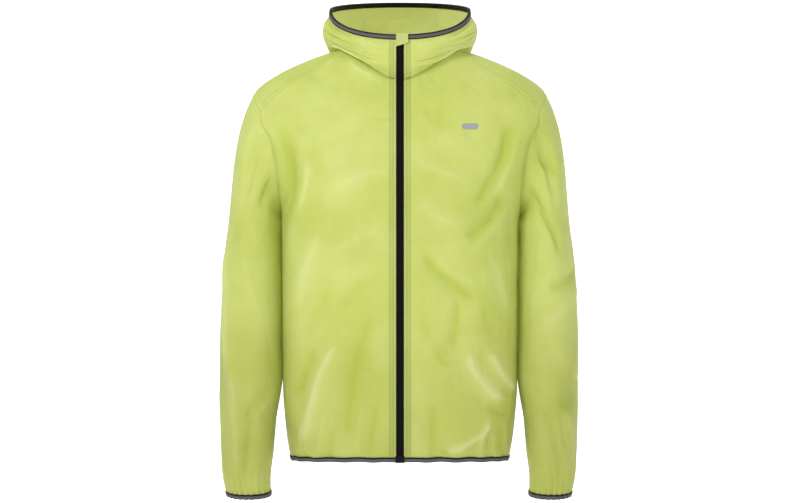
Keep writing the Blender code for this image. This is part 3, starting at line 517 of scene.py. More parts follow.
FLOOR_Z = -0.80
WALL_Y = 7.5
STAGE_WIDE, STAGE_DEEP, STAGE_TALL = 80, 48, 12
PAPER_GLOW = 0.7
WORLD_GLOW = 0.29
LIGHTS = (  # name, place, aim, size, power
    ("soft_left", (-1.15, -1.7, 1.15), (0, 0, -0.2), 0.7, 32),
    ("soft_right", (1.5, -1.9, 0.7), (0, 0, -0.25), 1.2, 11),
    ("soft_top", (0, -0.5, 1.9), (0, 0.1, -0.3), 1.4, 16),
)
CAMERA_AT = (0.0, -5.0, -0.3335)
CAMERA_LENS = 133.9


def smooth_rows(table, at, columns):
    """A table's columns by name, at the given values of its first, on a smooth curve."""
    knots, rows = table[:, 0], table[:, 1:]
    slopes = np.gradient(rows, knots, axis=0)
    at = np.asarray(at, float)
    i = np.clip(np.searchsorted(knots, at, side="right") - 1, 0, len(knots) - 2)
    step = (knots[i + 1] - knots[i])[..., None]
    t = (at - knots[i])[..., None] / step
    values = curve_between(rows[i], rows[i + 1], step * slopes[i], step * slopes[i + 1], t)
    return dict(zip(columns[1:], np.moveaxis(values, -1, 0)))


def curve_between(start, end, leave, arrive, t):
    """A point at share t of the smooth curve that leaves and arrives in given directions."""
    return (
        (2 * t**3 - 3 * t**2 + 1) * start
        + (t**3 - 2 * t**2 + t) * leave
        + (3 * t**2 - 2 * t**3) * end
        + (t**3 - t**2) * arrive
    )


def ring_skin(table, turn, level):
    """Points of the plain skin through a table's rings."""
    turn, level = np.broadcast_arrays(np.radians(turn), np.asarray(level, float))
    ring = smooth_rows(table, level, RING_COLUMNS)
    s, c = np.sin(turn), np.cos(turn)
    reach = squared_reach(s, c, ring["squareness"])
    share = reach * np.abs(c)
    ahead = c > 0
    y = np.where(ahead, -ring["y_front"], ring["y_back"]) * share
    z_end = np.where(ahead, ring["z_front"], ring["z_back"])
    power = np.where(ahead, ring["front_power"], ring["back_power"])
    z = ring["z_side"] + (z_end - ring["z_side"]) * share**power
    return np.stack([ring["half_width"] * reach * s, y, z], axis=-1)


def squared_reach(s, c, squareness):
    """How far a rounded square of half-width 1 reaches in a direction; 2 is a circle."""
    return (np.abs(s) ** squareness + np.abs(c) ** squareness) ** (-1 / squareness)


def unit(v):
    return v / np.maximum(np.linalg.norm(v, axis=-1, keepdims=True), 1e-9)


def outward(skin, turn, level):
    """Unit normals of a skin, from close neighbours."""
    across = skin(turn + 0.2, level) - skin(turn - 0.2, level)
    up = skin(turn, level + 0.5) - skin(turn, level - 0.5)
    return unit(np.cross(across, up))


def raised(x, z, folds, end=FOLD_END):
    """How far folds and creases raise the cloth at points of a view. Soft ones are rounded,
    and crisp ones have a crest."""
    height = np.zeros(np.shape(x))
    for row in folds:
        fold = dict(zip(CREASE_COLUMNS, row + (0,)))
        run_x, run_z = fold["x1"] - fold["x0"], fold["z1"] - fold["z0"]
        from_x, from_z = x - fold["x0"], z - fold["z0"]
        length = np.hypot(run_x, run_z)
        along = (from_x * run_x + from_z * run_z) / length**2
        side = (from_x * run_z - from_z * run_x) / length - fold["bow"] * 4 * along * (1 - along)
        fade = np.clip((0.5 + end - np.abs(along - 0.5)) / (2 * end), 0, 1)
        fade = fade * fade * (3 - 2 * fade)
        share = side / fold["spread"]
        soft = np.exp(-(share**2))
        crest = np.exp(-CREST_FALL * (np.sqrt(share**2 + CREST_ROUND) - CREST_TOP))
        height += fold["height"] * ((1 - fold["crisp"]) * soft + fold["crisp"] * crest) * fade
    return height


def body_relief(turn, level):
    """Height of the folds and of the hem's gathers on the body."""
    x, _, z = np.moveaxis(ring_skin(BODY, turn, level), -1, 0)
    round_turn = np.abs((turn + 180) % 360 - 180)
    ahead = round_turn < 90
    height = np.where(ahead, raised(x, z, FRONT_FOLDS), raised(x, z, BACK_FOLDS))
    below = np.clip((UNDERARM + 20 - level) / FLAT_FADE, 0, 1)
    near_side = np.clip((np.abs(round_turn - 90) - SIDE_FLAT) / SIDE_FADE, 0, 1)
    zip_side = np.clip((np.abs(x) - TAPE_HALF - 1) / ZIP_FADE, 0, 1)
    seam_line = np.clip((NECK - level) / FLAT_FADE, 0, 1)
    height = height * (1 - below * (1 - near_side)) * zip_side * seam_line
    first = np.degrees(np.arcsin((TAPE_HALF + 1) / BODY[0, 1]))
    front_wave = (HEM_WAVES_FRONT - 0.5) * (90 - round_turn) / (90 - first)
    back_wave = HEM_WAVES_BACK * (round_turn - 90) / 90
    wave = np.cos(2 * np.pi * np.where(ahead, front_wave, back_wave))
    uneven = 1 + 0.4 * np.sin(np.radians(3 * turn) + 1)
    above = np.maximum(level - EDGE_BAND, 0)
    gather = HEM_GATHER * uneven * wave * np.exp(-above / HEM_GATHER_UP)
    return height + gather * zip_side


def body_skin(turn, level):
    """Points of the body's outer face, folds and all."""
    turn, level = np.broadcast_arrays(np.asarray(turn, float), np.asarray(level, float))

    def plain(t, h):
        return ring_skin(BODY, t, h)

    lift = body_relief(turn, level)[..., None]
    return plain(turn, level) + lift * outward(plain, turn, level)


def hood_skin(turn, level):
    """Points of the hood's outer face."""
    return ring_skin(HOOD, turn, level)


def zip_turn(skin, level, x):
    """The turn at which a skin's front is x from the middle."""
    low, high = np.zeros(np.shape(level)), np.full(np.shape(level), 40.0)
    for _ in range(40):
        middle = (low + high) / 2
        beyond = skin(middle, level)[..., 0] > x
        high = np.where(beyond, middle, high)
        low = np.where(beyond, low, middle)
    return (low + high) / 2


def armhole_turn(level):
    """How far the armhole's edge is from the side line, in turn, at a level."""
    share = (level - ARM_MIDDLE) / (ARM_MIDDLE - UNDERARM)
    return ARMHOLE_REACH * np.sqrt(np.maximum(1 - share**2, 0))


def front_edge(level):
    """The turn of a front's outer edge: side seam, armhole, then shoulder seam."""
    over = np.maximum(level, SHOULDER_TIP)
    seam = smooth_rows(SHOULDER_SEAM, over, SHOULDER_SEAM_COLUMNS)["turn"]
    arm = 90 - armhole_turn(np.clip(level, UNDERARM, SHOULDER_TIP))
    return np.where(level > SHOULDER_TIP, seam, arm)


def nudge(level):
    """Half a seam's gap as a turn, at each level."""
    return np.full(np.shape(level), np.degrees(SEAM / 2 / SEAM_RADIUS))


def sleeve_ring(z, round_deg, sign):
    """Points of a sleeve's ring below the underarm."""
    ring = smooth_rows(SLEEVE[::-1], z, SLEEVE_COLUMNS)
    s, c = np.sin(np.radians(round_deg)), np.cos(np.radians(round_deg))
    reach = squared_reach(s, c, SLEEVE_ROUND)
    extra = SLEEVE_WIDER["left" if sign > 0 else "right"] * np.clip(c, 0, 1)
    x = ring["centre_x"] + ring["half_width"] * reach * c + extra
    y = ring["centre_y"] - ring["half_depth"] * reach * s
    dip = CUFF_DIP * np.clip((CUFF_DIP_FROM - z) / (CUFF_DIP_FROM - SLEEVE[-1, 0]), 0, 1)
    return np.stack([sign * x, y, z - dip * reach * s], axis=-1)


def ring_normals(points, sign):
    """Outward normals of closed rings that run down a sleeve."""
    across = np.roll(points, -1, axis=1) - np.roll(points, 1, axis=1)
    down = np.gradient(points, axis=0)
    return unit(np.cross(down, across)) * sign


def skin_edge(skin, turn, level, next_level):
    """Points, normals and directions off the cloth along an edge at one level, where the
    cloth's next row lies at next_level."""
    level = np.broadcast_to(np.asarray(level, float), np.shape(turn))
    points = skin(turn, level)
    return points, outward(skin, turn, level), unit(points - skin(turn, 0 * level + next_level))


def nearest(points, line):
    """Distance from each point to a line's nearest point, and how far along that lies."""
    run = np.linalg.norm(np.diff(line, axis=0), axis=1)
    along = np.concatenate([[0], np.cumsum(run)])
    tree = kdtree.KDTree(len(line))
    for index, place in enumerate(line.tolist()):
        tree.insert(place, index)
    tree.balance()
    found = [tree.find(place)[1:] for place in points.reshape(-1, 3).tolist()]
    index, gap = np.array(found).T
    shape = points.shape[:-1]
    return gap.reshape(shape), along[index.astype(int)].reshape(shape)


def seam_height(points, lines):
    """The dip at each seam, the raised allowance beside it, and puckers along it."""
    height = np.zeros(points.shape[:-1])
    for line in lines:
        gap, along = nearest(points, line)
        height += SEAM_DIP * np.exp(-((gap / SEAM_DIP_SPREAD) ** 2))
        band = np.clip(gap - SEAM_BAND_FROM, 0, 1) * np.clip(SEAM_BAND_TO - gap, 0, 1)
        height += SEAM_BAND * band
        wave = np.sin(2 * np.pi * along / PUCKER_PITCH + 2 * np.sin(along / PUCKER_DRIFT))
        uneven = 0.5 + 0.5 * np.sin(along / PUCKER_UNEVEN + 1.0)
        height += PUCKER * uneven * wave * np.exp(-gap / PUCKER_REACH) * np.clip(gap / 4, 0, 1)
    return height


def make_cloth(name, points, normals, height, folds=0, used=None, closed=False):
    """A thin closed shell behind a grid of points, with each point's whole height, folds and
    painted shade included, kept for the painted shade and highlight in its colour."""
    rows, columns = points.shape[:2]
    raised = points + height[..., None] * normals
    last = columns if closed else columns - 1
    r, c = np.meshgrid(np.arange(rows - 1), np.arange(last), indexing="ij")
    d = (c + 1) % columns
    faces = np.stack([r * columns + c, r * columns + d, (r + 1) * columns + d,
                      (r + 1) * columns + c], axis=-1)
    faces = faces.reshape(-1, 4)
    if used is not None:
        faces = faces[used]
    keep, faces = np.unique(faces, return_inverse=True)
    faces = faces.reshape(-1, 4)
    outer = raised.reshape(-1, 3)[keep]
    inner = outer - SHELL * normals.reshape(-1, 3)[keep]
    count = len(outer)
    edges = np.stack([faces, np.roll(faces, -1, axis=1)], axis=-1).reshape(-1, 2)
    code = edges[:, 0] * count + edges[:, 1]
    back_code = edges[:, 1] * count + edges[:, 0]
    rim = edges[~np.isin(code, back_code)]
    rims = np.stack([rim[:, 1], rim[:, 0], rim[:, 0] + count, rim[:, 1] + count], axis=-1)
    inside = faces[:, [0, 3, 2, 1]] + count
    whole = np.concatenate([faces, inside, rims])
    height_kept = np.tile((height + folds).reshape(-1)[keep], 2)
    inside_kept = np.repeat([0.0, 1.0], count)
    values = {"height": height_kept, "inside": inside_kept}
    return add_mesh(name, np.concatenate([outer, inner]), whole, values)


def keep_values(mesh, name, numbers):
    """Keeps a number on each of a mesh's points, for its material."""
    kept = mesh.attributes.new(name, "FLOAT", "POINT")
    kept.data.foreach_set("value", np.asarray(numbers, np.float32))


def add_mesh(name, points, faces, values):
    """A smooth mesh from points in millimetres and faces, with values on its points."""
    mesh = bpy.data.meshes.new(name)
    mesh.from_pydata((np.asarray(points) * MM).tolist(), [], [list(face) for face in faces])
    for key, numbers in values.items():
        keep_values(mesh, key, numbers)
    mesh.shade_smooth()
    mesh.set_sharp_from_angle(angle=np.radians(SHARP))
    piece = bpy.data.objects.new(name, mesh)
    bpy.context.scene.collection.objects.link(piece)
    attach(piece, "root")
    return piece


def steps(start, end, step=STEP):
    """Even values from start to end, about a step apart."""
    return np.linspace(start, end, int(round(abs(end - start) / step)) + 1)


def armhole_levels(step, start=0, end=ARMHOLE_TURN):
    """Levels up the armhole's curve, at even steps of its own turn."""
    turns = np.radians(steps(start, end, step))
    return ARM_MIDDLE - (ARM_MIDDLE - UNDERARM) * np.cos(turns)


def shown_levels():
    """Levels of the shown body's rows, closer together where the armhole's edge turns."""
    arm = armhole_levels(ARMHOLE_STEP)
    return np.concatenate([steps(0, UNDERARM)[:-1], arm, steps(SHOULDER_TIP, NECK)[1:]])


def at_edge(skin, turn, level):
    """Points of a skin at turns, all at one level or each at its own."""
    level = np.broadcast_to(np.asarray(level, float), np.shape(turn))
    return skin(np.asarray(turn, float), level)


def seam_lines(side):
    """The armhole and the shoulder seam of one side, as points."""
    sign = 1 if side == "left" else -1
    arm = armhole_levels(1.0)
    ahead = at_edge(body_skin, sign * (90 - armhole_turn(arm)), arm)
    tip_turn = np.linspace(90 - armhole_turn(SHOULDER_TIP), 90 + armhole_turn(SHOULDER_TIP), 60)
    tip = at_edge(body_skin, sign * tip_turn, SHOULDER_TIP)
    behind = at_edge(body_skin, sign * (90 + armhole_turn(arm)), arm)[::-1]
    armhole = np.concatenate([ahead, tip[1:], behind[1:]])
    high = steps(SHOULDER_TIP, NECK, FINE)
    shoulder = at_edge(body_skin, sign * front_edge(high + 0.01), high)
    return [armhole, shoulder]


def neck_line(from_turn, to_turn):
    """The neck seam between two turns, as points."""
    return at_edge(body_skin, steps(from_turn, to_turn, 1.0), NECK)


def body_creases(turn, level):
    """Fine creases of the body, calm at the seams that other pieces meet."""
    x, _, z = np.moveaxis(ring_skin(BODY, turn, level), -1, 0)
    round_turn = np.abs((turn + 180) % 360 - 180)
    ahead = round_turn < 90
    front = raised(x, z, FRONT_CREASES, CREASE_END)
    height = np.where(ahead, front, raised(x, z, BACK_CREASES, CREASE_END))
    calm_side = np.clip((np.abs(round_turn - 90) - 1) / 8, 0, 1)
    below = np.clip((UNDERARM + 40 - level) / 40, 0, 1)
    calm_zip = np.clip((np.abs(x) - ZIP_HALF - EDGE_FOLD_WIDE) / 8, 0, 1)
    calm_neck = np.clip((NECK - level) / 10, 0, 1)
    return height * (1 - below * (1 - calm_side)) * calm_zip * calm_neck


def zip_edge_height(x):
    """The folded edge beside the zip and the grooves of its two stitch lines."""
    x = np.abs(x)
    fold = EDGE_FOLD * np.clip((ZIP_HALF + EDGE_FOLD_WIDE - x) / EDGE_FOLD_END, 0, 1)
    for line in TAPE_STITCH_X:
        fold = fold - STITCH_GROOVE * np.exp(-(((x - line) / STITCH_GROOVE_WIDE) ** 2))
    return fold


def tape_behind(x):
    """The painted shade where a zip tape lies behind the cloth: how much deeper the colour is made
    there.
    """
    return -TAPE_PAINTED_SHADE * np.clip(TAPE_HALF + 1 - np.abs(x), 0, 1)


def neck_painted_shadow(away, x):
    """The painted shadow beside the neck seam, where the hood bulges over it: how much deeper the
    colour is made there.
    """
    beside = np.clip((np.abs(x) - NECK_PAINTED_SHADOW_FROM) / NECK_PAINTED_SHADOW_FADE, 0, 1)
    return NECK_PAINTED_SHADOW * np.exp(-((away / NECK_PAINTED_SHADOW_WIDE) ** 2)) * beside


def from_zip(skin, level, end, near_columns, far_columns):
    """Turns of a grid from the zip to an edge, with even columns as far as the tape and
    even ones beyond it."""
    start = zip_turn(skin, level, ZIP_HALF)
    beside = zip_turn(skin, level, TAPE_HALF + 1)
    near = start[:, None] + (beside - start)[:, None] * np.linspace(0, 1, near_columns)
    far = beside[:, None] + (end - beside)[:, None] * np.linspace(0, 1, far_columns)
    return np.hstack([near, far[:, 1:]])


def show_front(side):
    """One front panel."""
    sign = 1 if side == "left" else -1
    level = shown_levels()
    end = front_edge(level) - nudge(level)
    turn = sign * from_zip(body_skin, level, end, ZIP_COLUMNS, FRONT_COLUMNS)
    levels = np.broadcast_to(level[:, None], turn.shape)
    points = body_skin(turn, levels)
    normals = outward(body_skin, turn, levels)
    lines = seam_lines(side) + [neck_line(sign * 3.0, sign * 62.0)]
    height = body_creases(turn, levels) + seam_height(points, lines)
    height = height + zip_edge_height(points[..., 0])
    # Painted shade and highlight from the big folds, painted shade where the zip tape lies behind,
    # and a painted shadow below the hood's bulge at the neck.
    folds = FOLD_PAINTED_LIGHT * body_relief(turn, levels) + tape_behind(points[..., 0])
    folds = folds - neck_painted_shadow(NECK - levels, points[..., 0])
    return make_cloth(f"shown_front_{side}", points, normals, height, folds)


def show_back():
    """The back panel, which comes over both shoulders to the seams on the front."""
    level = shown_levels()
    edge = 90 + armhole_turn(np.clip(level, UNDERARM, SHOULDER_TIP)) + nudge(level)
    seam = front_edge(level) + nudge(level)
    main = edge[:, None] + (360 - 2 * edge)[:, None] * np.linspace(0, 1, BACK_COLUMNS)
    over = seam[:, None] + (edge - seam)[:, None] * np.arange(OVER_COLUMNS) / OVER_COLUMNS
    turn = np.concatenate([over, main, 360 - over[:, ::-1]], axis=1)
    levels = np.broadcast_to(level[:, None], turn.shape)
    points = body_skin(turn, levels)
    normals = outward(body_skin, turn, levels)
    lines = seam_lines("left") + seam_lines("right") + [neck_line(60.0, 300.0)]
    height = body_creases(turn, levels) + seam_height(points, lines)
    rows, columns = np.meshgrid(
        np.arange(len(level) - 1), np.arange(turn.shape[1] - 1), indexing="ij"
    )
    tip = int(np.searchsorted(level, SHOULDER_TIP - 0.1))
    is_main = (columns >= OVER_COLUMNS) & (columns < turn.shape[1] - OVER_COLUMNS - 1)
    used = (is_main | (rows >= tip)).reshape(-1)
    # Painted shade and highlight from the big folds.
    folds = FOLD_PAINTED_LIGHT * body_relief(turn, levels)
    return make_cloth("shown_back", points, normals, height, folds, used)


def armhole_fine(side):
    """The armhole's edge from the underarm up the front and down the back, finely spaced:
    points, normals, directions into the hole, and degrees round the sleeve."""
    sign = 1 if side == "left" else -1
    arm = armhole_levels(1.0)
    tip = armhole_turn(SHOULDER_TIP)
    over = np.linspace(90 - tip, 90 + tip, TIP_POINTS)
    turn = np.concatenate([90 - armhole_turn(arm), over[1:-1], 90 + armhole_turn(arm[::-1])[:-1]])
    level = np.concatenate([arm, np.full(TIP_POINTS - 2, float(SHOULDER_TIP)), arm[::-1][:-1]])
    points = body_skin(sign * turn, level)
    run = np.linalg.norm(np.roll(points, -1, axis=0) - points, axis=1)
    along = np.concatenate([[0], np.cumsum(run)])
    top = along[len(arm) + TIP_POINTS // 2 - 1]
    whole = along[-1]
    half = SLEEVE_COLUMNS_SHOWN // 2
    at = np.concatenate([top * np.arange(half) / half,
                         top + (whole - top) * np.arange(half) / half])
    turn = np.interp(at, along, np.append(turn, turn[0]))
    level = np.interp(at, along, np.append(level, level[0]))
    points = body_skin(sign * turn, level)
    normals = outward(body_skin, sign * turn, level)
    ahead = np.roll(points, -1, axis=0) - np.roll(points, 1, axis=0)
    into = unit(np.cross(ahead, normals)) * sign
    degrees = np.where(at < top, 180 * (1 - at / top), -180 * (at - top) / (whole - top))
    return points, normals, into, degrees


def inner_side(round_deg):
    """How far a point of a sleeve faces the body: 1 at its inner line, 0 from halfway out."""
    return np.clip(-np.cos(np.radians(round_deg)), 0, 1)


def close_ring(z, round_deg, sign):
    """A sleeve's ring whose inner side hangs close against the body."""
    points = sleeve_ring(z, round_deg, sign)
    points[..., 0] -= sign * np.interp(-z, *CLOSER) * inner_side(round_deg)
    return points


def show_sleeve(side):
    """One sleeve. Returns its last ring, that ring's normals and the way off the cloth."""
    sign = 1 if side == "left" else -1
    base, base_normals, into, round_deg = armhole_fine(side)
    count = len(base)
    start = base + SEAM * into
    head_end = SLEEVE[0, 0]
    first = close_ring(np.full(count, head_end), round_deg, sign)
    after = close_ring(np.full(count, head_end - HEAD_ARRIVE), round_deg, sign)
    chord = first - start
    length = np.linalg.norm(chord, axis=1, keepdims=True)
    under = inner_side(round_deg)[:, None] ** 2
    out = (HEAD_OUT + HEAD_OUT_UNDER * under) * base_normals
    leave = unit(HEAD_INTO * into + HEAD_STRAIGHT * unit(chord) + out)
    arrive = unit(after - first)
    rings = []
    for share in np.linspace(0, 1, HEAD_ROWS + 1)[:-1] ** HEAD_CROWDING:
        rings.append(curve_between(start, first, length * leave, length * arrive, share))
    for z in steps(head_end, SLEEVE[-1, 0], ROW_STEP):
        rings.append(close_ring(np.full(count, z), round_deg, sign))
    points = np.array(rings)
    beside = np.exp(-(((points[..., 2] - UNDERARM_GAP_Z) / UNDERARM_GAP_TALL) ** 2))
    points[..., 0] -= sign * UNDERARM_CLOSER * under[:, 0] * beside
    normals = ring_normals(points, sign)
    left = side == "left"
    x = np.broadcast_to(round_deg * ROUND_MM, points.shape[:2])
    z = points[..., 2]
    folds = raised(x, z, LEFT_SLEEVE_FOLDS if left else RIGHT_SLEEVE_FOLDS)
    creases = raised(x, z, LEFT_SLEEVE_CREASES if left else RIGHT_SLEEVE_CREASES, CREASE_END)
    clear = np.clip((FOLD_FREE - np.abs(round_deg)) / FOLD_FREE_FADE, 0, 1)
    start_fade = np.clip(np.arange(len(points)) / (HEAD_ROWS * HEAD_FOLD_FADE), 0, 1)[:, None]
    lift = (folds + creases) * clear * start_fade
    up = np.maximum(z - z[-1] - EDGE_BAND, 0)
    waves = 2 * np.pi * np.arange(count) * CUFF_WAVES / count
    wave = np.cos(waves + CUFF_UNEVEN * np.sin(np.radians(round_deg) * 3))
    calm = np.clip((CALM_FROM - np.abs(round_deg)) / CALM_FADE, CALM_LEAST, 1)
    lift = lift + CUFF_GATHER * wave * calm * np.exp(-up / CUFF_GATHER_UP)
    points = points + lift[..., None] * normals
    normals = ring_normals(points, sign)
    normals[0] = unit(base_normals + under * normals[0])
    height = seam_height(points, seam_lines(side)[:1])
    below = points[HEAD_ROWS:]
    height[HEAD_ROWS:] += seam_height(below, [below[:, 0]])
    # The folds' lift, scaled, is kept for the painted shade and highlight.
    cloth = make_cloth(f"shown_sleeve_{side}", points, normals, height, FOLD_PAINTED_LIGHT * lift,
                       closed=True)
    return cloth, points[-1], normals[-1], unit(points[-1] - points[-3])


def hood_creases(turn, level):
    """Fine creases of the hood, calm at the neck, the rim, the zip and where its side outline shows.
    """
    signed = np.where(turn > HOOD_BACK, turn - 360, turn)
    x = signed * HOOD_ROUND_MM
    height = raised(x, level, HOOD_CREASES, CREASE_END)
    ends = np.clip(level / 6, 0, 1) * np.clip((HOOD_RIM - 9 - level) / 14, 0, 1)
    front_x = np.abs(hood_skin(turn, level)[..., 0])
    from_fold = np.clip((front_x - ZIP_HALF - EDGE_FOLD_WIDE) / 10, 0, 1)
    beside = np.where(np.abs(signed) < 60, from_fold, 1)
    away = (np.abs(signed) - HOOD_CALM_TURN) / HOOD_CALM_WIDE
    outline = 1 - HOOD_CALM * np.exp(-(away**2))
    return height * ends * beside * outline


def hood_seam_turn(level):
    """The turn of the seam between a hood side and the centre strip."""
    ease = HOOD_EASE * np.clip(level / HOOD_EASE_UP, 0, 1)
    return HOOD_SEAM_NECK + (HOOD_SEAM_EVEN - HOOD_SEAM_NECK) * ease


def even_out(normals, rounds=6):
    """Directions averaged with their neighbours, so that creases stand up evenly."""
    for _ in range(rounds):
        wide = np.pad(normals, ((1, 1), (1, 1), (0, 0)), mode="edge")
        normals = (wide[:-2, 1:-1] + wide[2:, 1:-1] + wide[1:-1, :-2] + wide[1:-1, 2:]) / 4
    return normals / np.linalg.norm(normals, axis=-1, keepdims=True)


def show_hood():
    """The hood's two sides and its centre strip."""
    level = np.concatenate([[HOOD_FIRST], steps(0.12, HOOD_RIM, HOOD_STEP)[1:]])
    seam = hood_seam_turn(level)
    end = seam - nudge(level)
    side_turn = from_zip(hood_skin, level, end, HOOD_ZIP_COLUMNS, HOOD_SIDE_COLUMNS)
    first = (seam + nudge(level))[:, None]
    centre_turn = first + (360 - 2 * first) * np.linspace(0, 1, HOOD_CENTRE_COLUMNS)
    fine = steps(2, HOOD_RIM, FINE)
    seams = [at_edge(hood_skin, sign * hood_seam_turn(fine), fine) for sign in (1, -1)]
    neck = at_edge(hood_skin, steps(-180, 180, 1.0), 0.5)
    turns = {"hood_side_left": side_turn, "hood_side_right": -side_turn, "hood_centre": centre_turn}
    made = {}
    for name, turn in turns.items():
        levels = np.broadcast_to(level[:, None], turn.shape)
        points = hood_skin(turn, levels)
        normals = even_out(outward(hood_skin, turn, levels))
        height = hood_creases(turn, levels) + seam_height(points, seams + [neck])
        behind = 0
        if name != "hood_centre":
            height = height + zip_edge_height(points[..., 0])
            behind = np.where(np.abs(turn) < 60, tape_behind(points[..., 0]), 0)
        # Painted shade where the zip tape lies behind, and a painted shadow at the hood's foot below
        # its bulge.
        painted_shade = behind - neck_painted_shadow(levels, points[..., 0])
        made[name] = make_cloth(f"shown_{name}", points, normals, height, painted_shade)
    return made


def make_strip(name, edge, normals, off, outside, inside, lift, closed=False):
    """A soft strip folded over an edge of the cloth. Its points keep how far across the strip
    and how far along it they are, and which side of the cloth they are on."""
    count = len(edge)
    outside = np.broadcast_to(np.asarray(outside, float), (count,))
    section = []
    for across, rise in BINDING_POINTS:
        section.append((outside * across, np.full(count, lift + rise * BINDING_WALL), 1.0))
    for across, rise in BINDING_POINTS[::-1]:
        low = -CLOTH - lift - rise * BINDING_WALL
        section.append((np.full(count, inside * across), np.full(count, low), -1.0))
    section.append((np.zeros(count), np.full(count, -CLOTH - lift), -1.0))
    section.append((np.zeros(count), np.full(count, lift), 1.0))
    rows = [edge + h[:, None] * normals + (SEAM - a)[:, None] * off for a, h, _ in section]
    points = np.stack(rows, axis=1)
    run = np.linalg.norm(np.roll(edge, -1, axis=0) - edge, axis=1)
    along = np.concatenate([[0], np.cumsum(run[:-1])])
    sides = len(section)
    i, k = np.meshgrid(np.arange(count if closed else count - 1), np.arange(sides), indexing="ij")
    j, m = (i + 1) % count, (k + 1) % sides
    faces = np.stack([i * sides + k, i * sides + m, j * sides + m, j * sides + k], axis=-1)
    faces = faces.reshape(-1, 4).tolist()
    if not closed:
        first = list(range(sides))
        faces += [first[::-1], [(count - 1) * sides + n for n in first]]
    across = np.stack([a / np.maximum(outside, 1) for a, _, _ in section], axis=1)
    outer = np.stack([np.full(count, s) for _, _, s in section], axis=1)
    along = np.broadcast_to(along[:, None], across.shape)
    values = {"across": across.ravel(), "along": along.ravel(), "outer": outer.ravel()}
    return add_mesh(name, points.reshape(-1, 3), faces, values)


def show_tape(side):
    """One zip tape, behind the front's edge, from the hem to the top of the hood."""
    sign = 1 if side == "left" else -1
    xs = np.concatenate([np.linspace(0.0, ZIP_HALF + 3, 9), [13.0, TAPE_HALF]])
    parts, sides = [], []
    for skin, start, end in ((body_skin, TAPE_BOTTOM, NECK), (hood_skin, 6, TAPE_TOP)):
        rise = steps(start, end, 5.0)
        level, x = np.meshgrid(rise, xs, indexing="ij")
        turn = sign * zip_turn(skin, level, x)
        normal = outward(skin, turn, level)
        parts.append(skin(turn, level) - TAPE_BEHIND * normal)
        sides.append(normal)
    points, normals = np.concatenate(parts), np.concatenate(sides)
    x = np.abs(points[..., 0])
    height = 0.2 * np.exp(-(((x - 1.1) / 0.9) ** 4)) - 0.1
    return make_cloth(f"shown_zip_tape_{side}", points, normals, height)


def show_stitches(name, line, normals):
    """A row of small stitches along a line that lies on the cloth."""
    run = np.linalg.norm(np.diff(line, axis=0), axis=1)
    along = np.concatenate([[0], np.cumsum(run)])
    starts = np.arange(STITCH_PITCH / 2, along[-1] - STITCH_LONG, STITCH_PITCH)
    points, faces = [], []
    for n, start in enumerate(starts):
        at = start + STITCH_LONG * np.array([0, 0.5, 1])
        middle = np.stack([np.interp(at, along, line[:, k]) for k in range(3)], axis=1)
        up = unit(np.stack([np.interp(at, along, normals[:, k]) for k in range(3)], axis=1))
        ahead = unit(middle[2] - middle[0])
        side = np.cross(up, ahead)
        half = STITCH_THICK / 2
        for k, wide in enumerate((0.5, 1.0, 0.5)):
            place = middle[k] + (STITCH_LIFT - (0.15 if k != 1 else 0)) * up[k]
            points += [place + half * wide * side[k], place + half * wide * up[k],
                       place - half * wide * side[k], place - half * up[k]]
        base = n * 12
        for k in (0, 4):
            for q in range(4):
                w = (q + 1) % 4
                faces.append((base + k + q, base + k + w, base + k + 4 + w, base + k + 4 + q))
        faces.append((base, base + 3, base + 2, base + 1))
        faces.append((base + 8, base + 9, base + 10, base + 11))
    return add_mesh(name, points, faces, {})


def shader(name, colour, rough):
    """A named material and its nodes, with a plain Principled shader."""
    material = bpy.data.materials.new(name)
    material.use_nodes = True
    tree = material.node_tree
    plain = tree.nodes["Principled BSDF"]
    plain.inputs["Base Color"].default_value = (*colour, 1)
    plain.inputs["Roughness"].default_value = rough
    return material, tree, plain


def node(tree, kind, settings=(), **values):
    """A new node, with values for its inputs by name and settings by attribute."""
    made = tree.nodes.new(kind)
    for key, value in dict(settings).items():
        setattr(made, key, value)
    for key, value in values.items():
        made.inputs[key.replace("_", " ")].default_value = value
    return made


def attribute(tree, name):
    """A number that is kept on the mesh's points."""
    return node(tree, "ShaderNodeAttribute", {"attribute_name": name}).outputs["Fac"]


def noise(tree, scale, detail, rough=0.5, stretch=None):
    """Noise in the part's own frame; scale is in waves for each metre."""
    place = node(tree, "ShaderNodeTexCoord").outputs["Object"]
    if stretch is not None:
        mapping = node(tree, "ShaderNodeMapping", Scale=stretch)
        tree.links.new(place, mapping.inputs["Vector"])
        place = mapping.outputs["Vector"]
    made = node(tree, "ShaderNodeTexNoise", Scale=scale, Detail=detail, Roughness=rough)
    tree.links.new(place, made.inputs["Vector"])
    return made.outputs["Fac"]


def crumple(tree, scale):
    """Facets with soft creases between them, as in crumpled thin cloth."""
    place = node(tree, "ShaderNodeTexCoord").outputs["Object"]
    warp = node(tree, "ShaderNodeTexNoise", Scale=scale * 0.6, Detail=2.0)
    tree.links.new(place, warp.inputs["Vector"])
    moved = node(tree, "ShaderNodeVectorMath", {"operation": "MULTIPLY_ADD"})
    moved.inputs[1].default_value = (CRUMPLE_WARP,) * 3
    tree.links.new(warp.outputs["Color"], moved.inputs[0])
    tree.links.new(place, moved.inputs[2])
    cells = node(tree, "ShaderNodeTexVoronoi", {"feature": "F1"}, Scale=scale)
    tree.links.new(moved.outputs["Vector"], cells.inputs["Vector"])
    return cells.outputs["Distance"]


def ramp(tree, source, low, high):
    """0 where a value is at its low end, 1 at its high end."""
    made = node(tree, "ShaderNodeMapRange", From_Min=low, From_Max=high)
    tree.links.new(source, made.inputs["Value"])
    return made.outputs["Result"]


